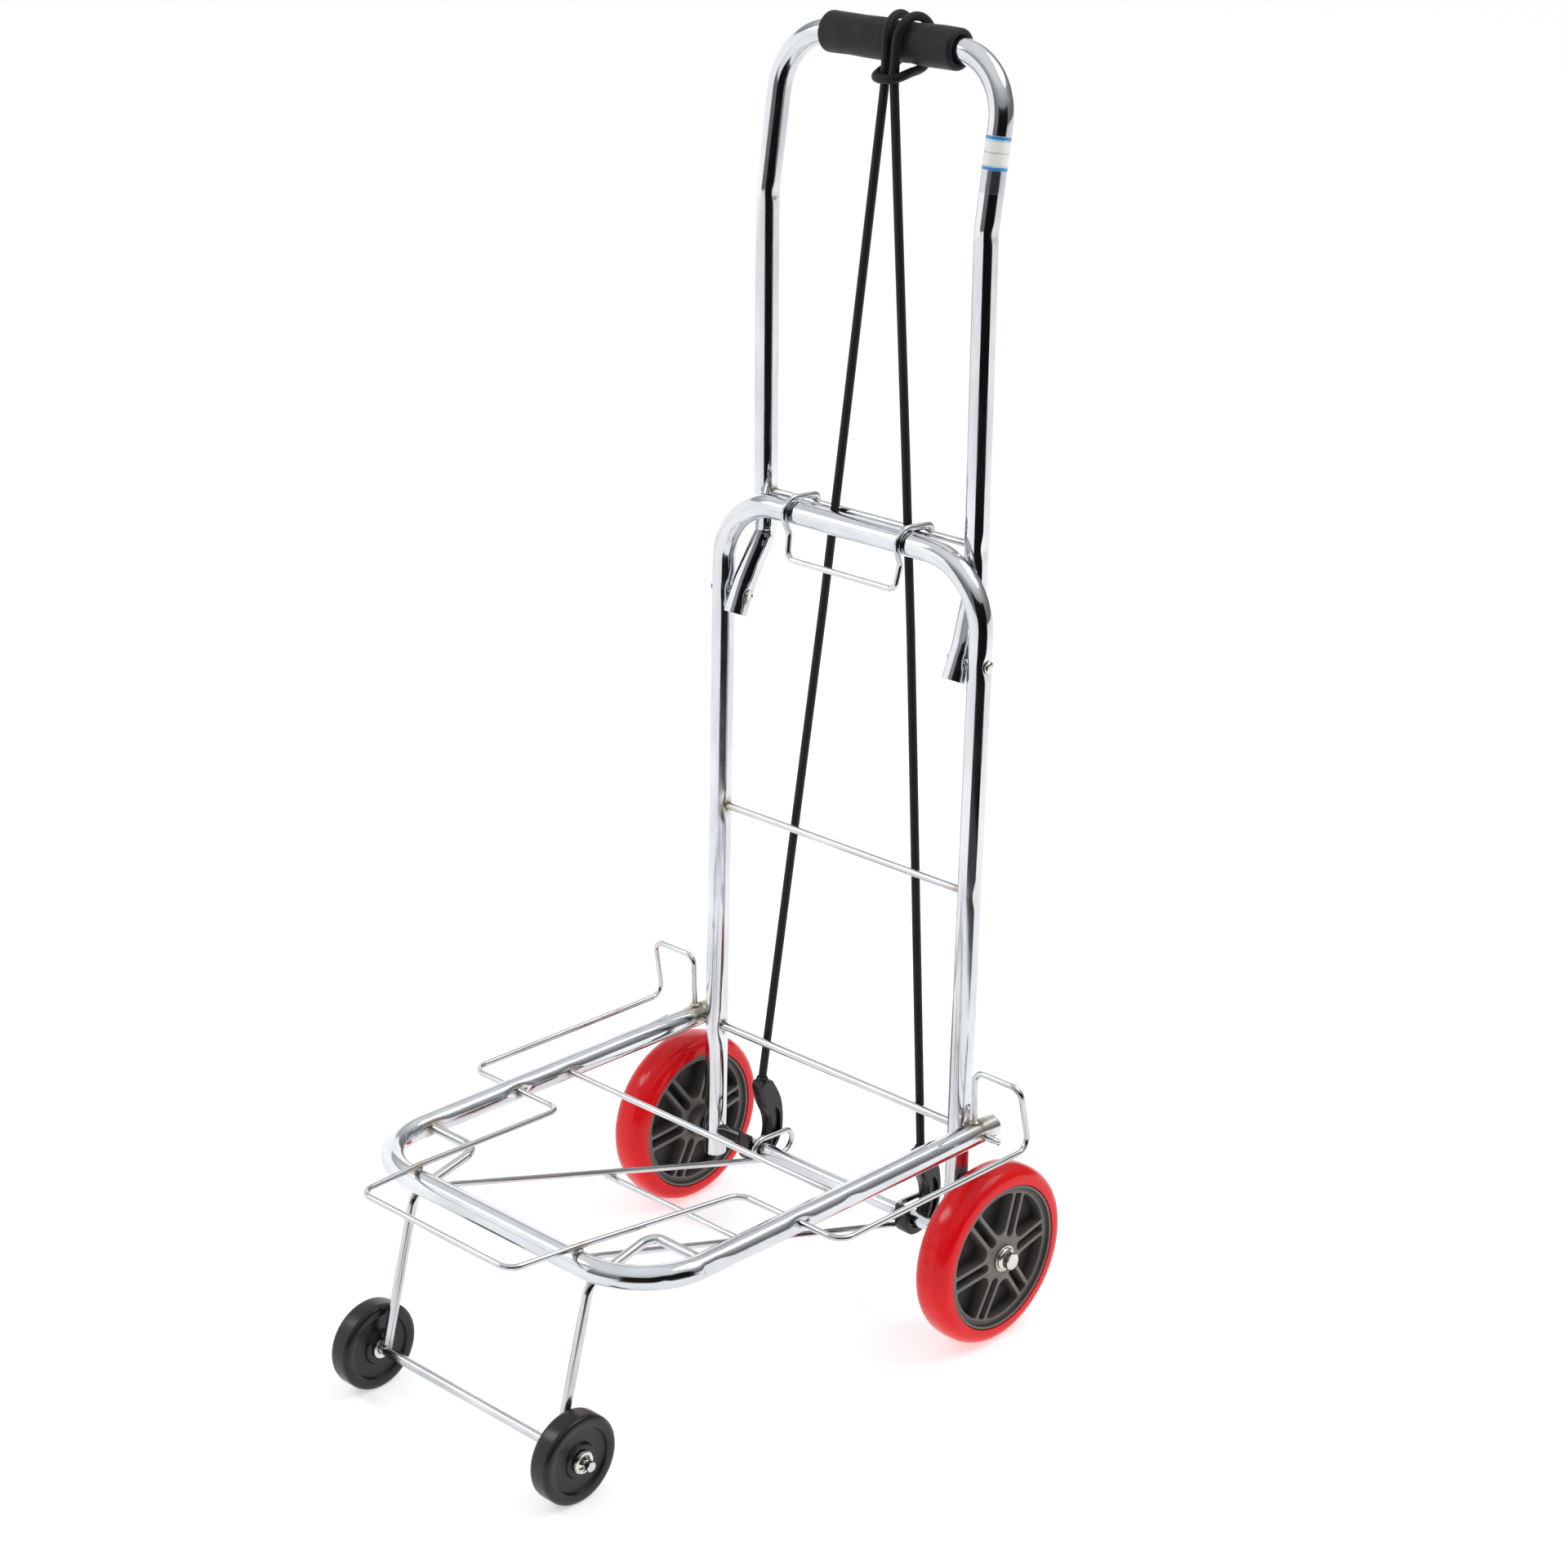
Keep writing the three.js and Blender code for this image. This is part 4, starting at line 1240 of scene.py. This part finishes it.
# ---- studio
CEILING_WHITE, PALE = (0.97, 0.985, 1.0), (0.90, 0.90, 0.905)
FLOOR_GLOW = 0.50  # a little light of its own keeps the paper white to the horizon
SKY_DIFFUSE, SKY_GLOSS = 0.55, 1.0
KEY, FILL = 34.0, 14.0
ROOM = [(0.0, 0.16), (0.30, 0.26), (0.52, 0.50), (0.72, 0.92), (1.0, 1.0)]  # height, brightness


def plain(name, color, glow=0.0):
    mat = bpy.data.materials.new(name)
    mat.use_nodes = True
    inputs = next(n for n in mat.node_tree.nodes if n.type == "BSDF_PRINCIPLED").inputs
    set_values(inputs, Base_Color=(*color, 1), Roughness=0.9, Specular_IOR_Level=0.1)
    if glow:
        set_values(inputs, Emission_Color=(1, 1, 1, 1), Emission_Strength=glow)
    return mat


FLOOR = plain("stage_floor", PALE, FLOOR_GLOW)
DARK = plain("stage_card", (0.004, 0.0035, 0.0035))
DUSK = plain("stage_card_dusk", (0.075, 0.068, 0.066))
PAPER = plain("stage_card_paper", PALE, FLOOR_GLOW)
CARDS = [  # kind, azimuths, distance of the near and the far edge, height of the far edge, look
    ("near", 20, 105, 0.78, 1.20, 0.004, DUSK),
    ("low", 20, 105, 1.20, 4.0, 0.004, DARK),
    ("wall", 20, 105, 4.0, 4.0, 2.4, DARK),
    ("paper", -152, -15, 4.0, 4.0, 2.4, PAPER),
]
CARD_STEP, CARD_HEIGHT = 12, 0.004


def plane(name, corners, material):
    mesh = bpy.data.meshes.new(name)
    mesh.from_pydata(corners, [], [tuple(range(len(corners)))])
    mesh.materials.append(material)
    obj = in_scene(name, mesh)
    return obj


def around(azimuth, distance, height):
    a = math.radians(azimuth)
    return (distance * math.sin(a), -distance * math.cos(a), height)


def cards():
    """Dark and pale cards seen only in reflections, like the flags round a product table."""
    for kind, first, last, near, far, top, look in CARDS:
        steps = list(range(first, last, CARD_STEP))
        for i, (a, b) in enumerate(zip(steps[:-1], steps[1:])):
            obj = plane("stage_%s_%d" % (kind, i), [
                around(a, near, CARD_HEIGHT), around(b, near, CARD_HEIGHT),
                around(b, far, top), around(a, far, top),
            ], look)
            obj.visible_camera = obj.visible_diffuse = False
            obj.visible_shadow = obj.visible_transmission = False


def softbox(name, spot, target, size, power):
    data = bpy.data.lights.new(name, "AREA")
    data.shape, data.size, data.size_y = "RECTANGLE", size[0], size[1]
    data.energy = power
    obj = in_scene(name, data)
    obj.location = spot
    obj.rotation_euler = (Vector(target) - Vector(spot)).to_track_quat("-Z", "Y").to_euler()


def sky():
    """White behind the cart; in reflections a dim room under a bright ceiling."""
    world = bpy.data.worlds.new("studio")
    world.use_nodes = True
    bpy.context.scene.world = world
    nodes, link = world.node_tree.nodes, world.node_tree.links.new
    nodes.clear()

    def new(kind):
        return nodes.new("ShaderNode" + kind)

    def background(color, strength):
        n = new("Background")
        set_values(n.inputs, Color=(*color, 1), Strength=strength)
        return n.outputs[0]

    def choose(which, otherwise, shader):
        n = new("MixShader")
        for socket, source in zip(n.inputs, (path.outputs[which], otherwise, shader)):
            link(source, socket)
        return n.outputs[0]

    path = new("LightPath")
    seen, soft = background((1, 1, 1), 1.0), background(CEILING_WHITE, SKY_DIFFUSE)
    room = background((1, 1, 1), SKY_GLOSS)
    where, split, ramp = new("TexCoord"), new("SeparateXYZ"), new("ValToRGB")
    link(where.outputs["Generated"], split.inputs[0])
    link(split.outputs[2], ramp.inputs[0])
    stops = ramp.color_ramp.elements
    while len(stops) < len(ROOM):
        stops.new(0.5)
    for stop, (at, level) in zip(stops, ROOM):
        stop.position, stop.color = at, (*(level * c for c in CEILING_WHITE), 1)
    link(ramp.outputs["Color"], room.node.inputs["Color"])
    shader = choose("Is Camera Ray", choose("Is Glossy Ray", soft, room), seen)
    link(shader, new("OutputWorld").inputs[0])


wide = 14.0  # half of the paper's width, m
plane("stage_ground", [(-wide, -wide, 0), (wide, -wide, 0), (wide, wide, 0), (-wide, wide, 0)], FLOOR)
cards()
softbox("key", (1.2, 1.6, 3.2), (0, 0.05, 0.2), (2.2, 1.6), KEY)
softbox("fill", (-1.9, -1.5, 2.3), (0, 0.0, 0.3), (0.7, 0.9), FILL)
sky()
bpy.context.scene.view_settings.view_transform = "Standard"
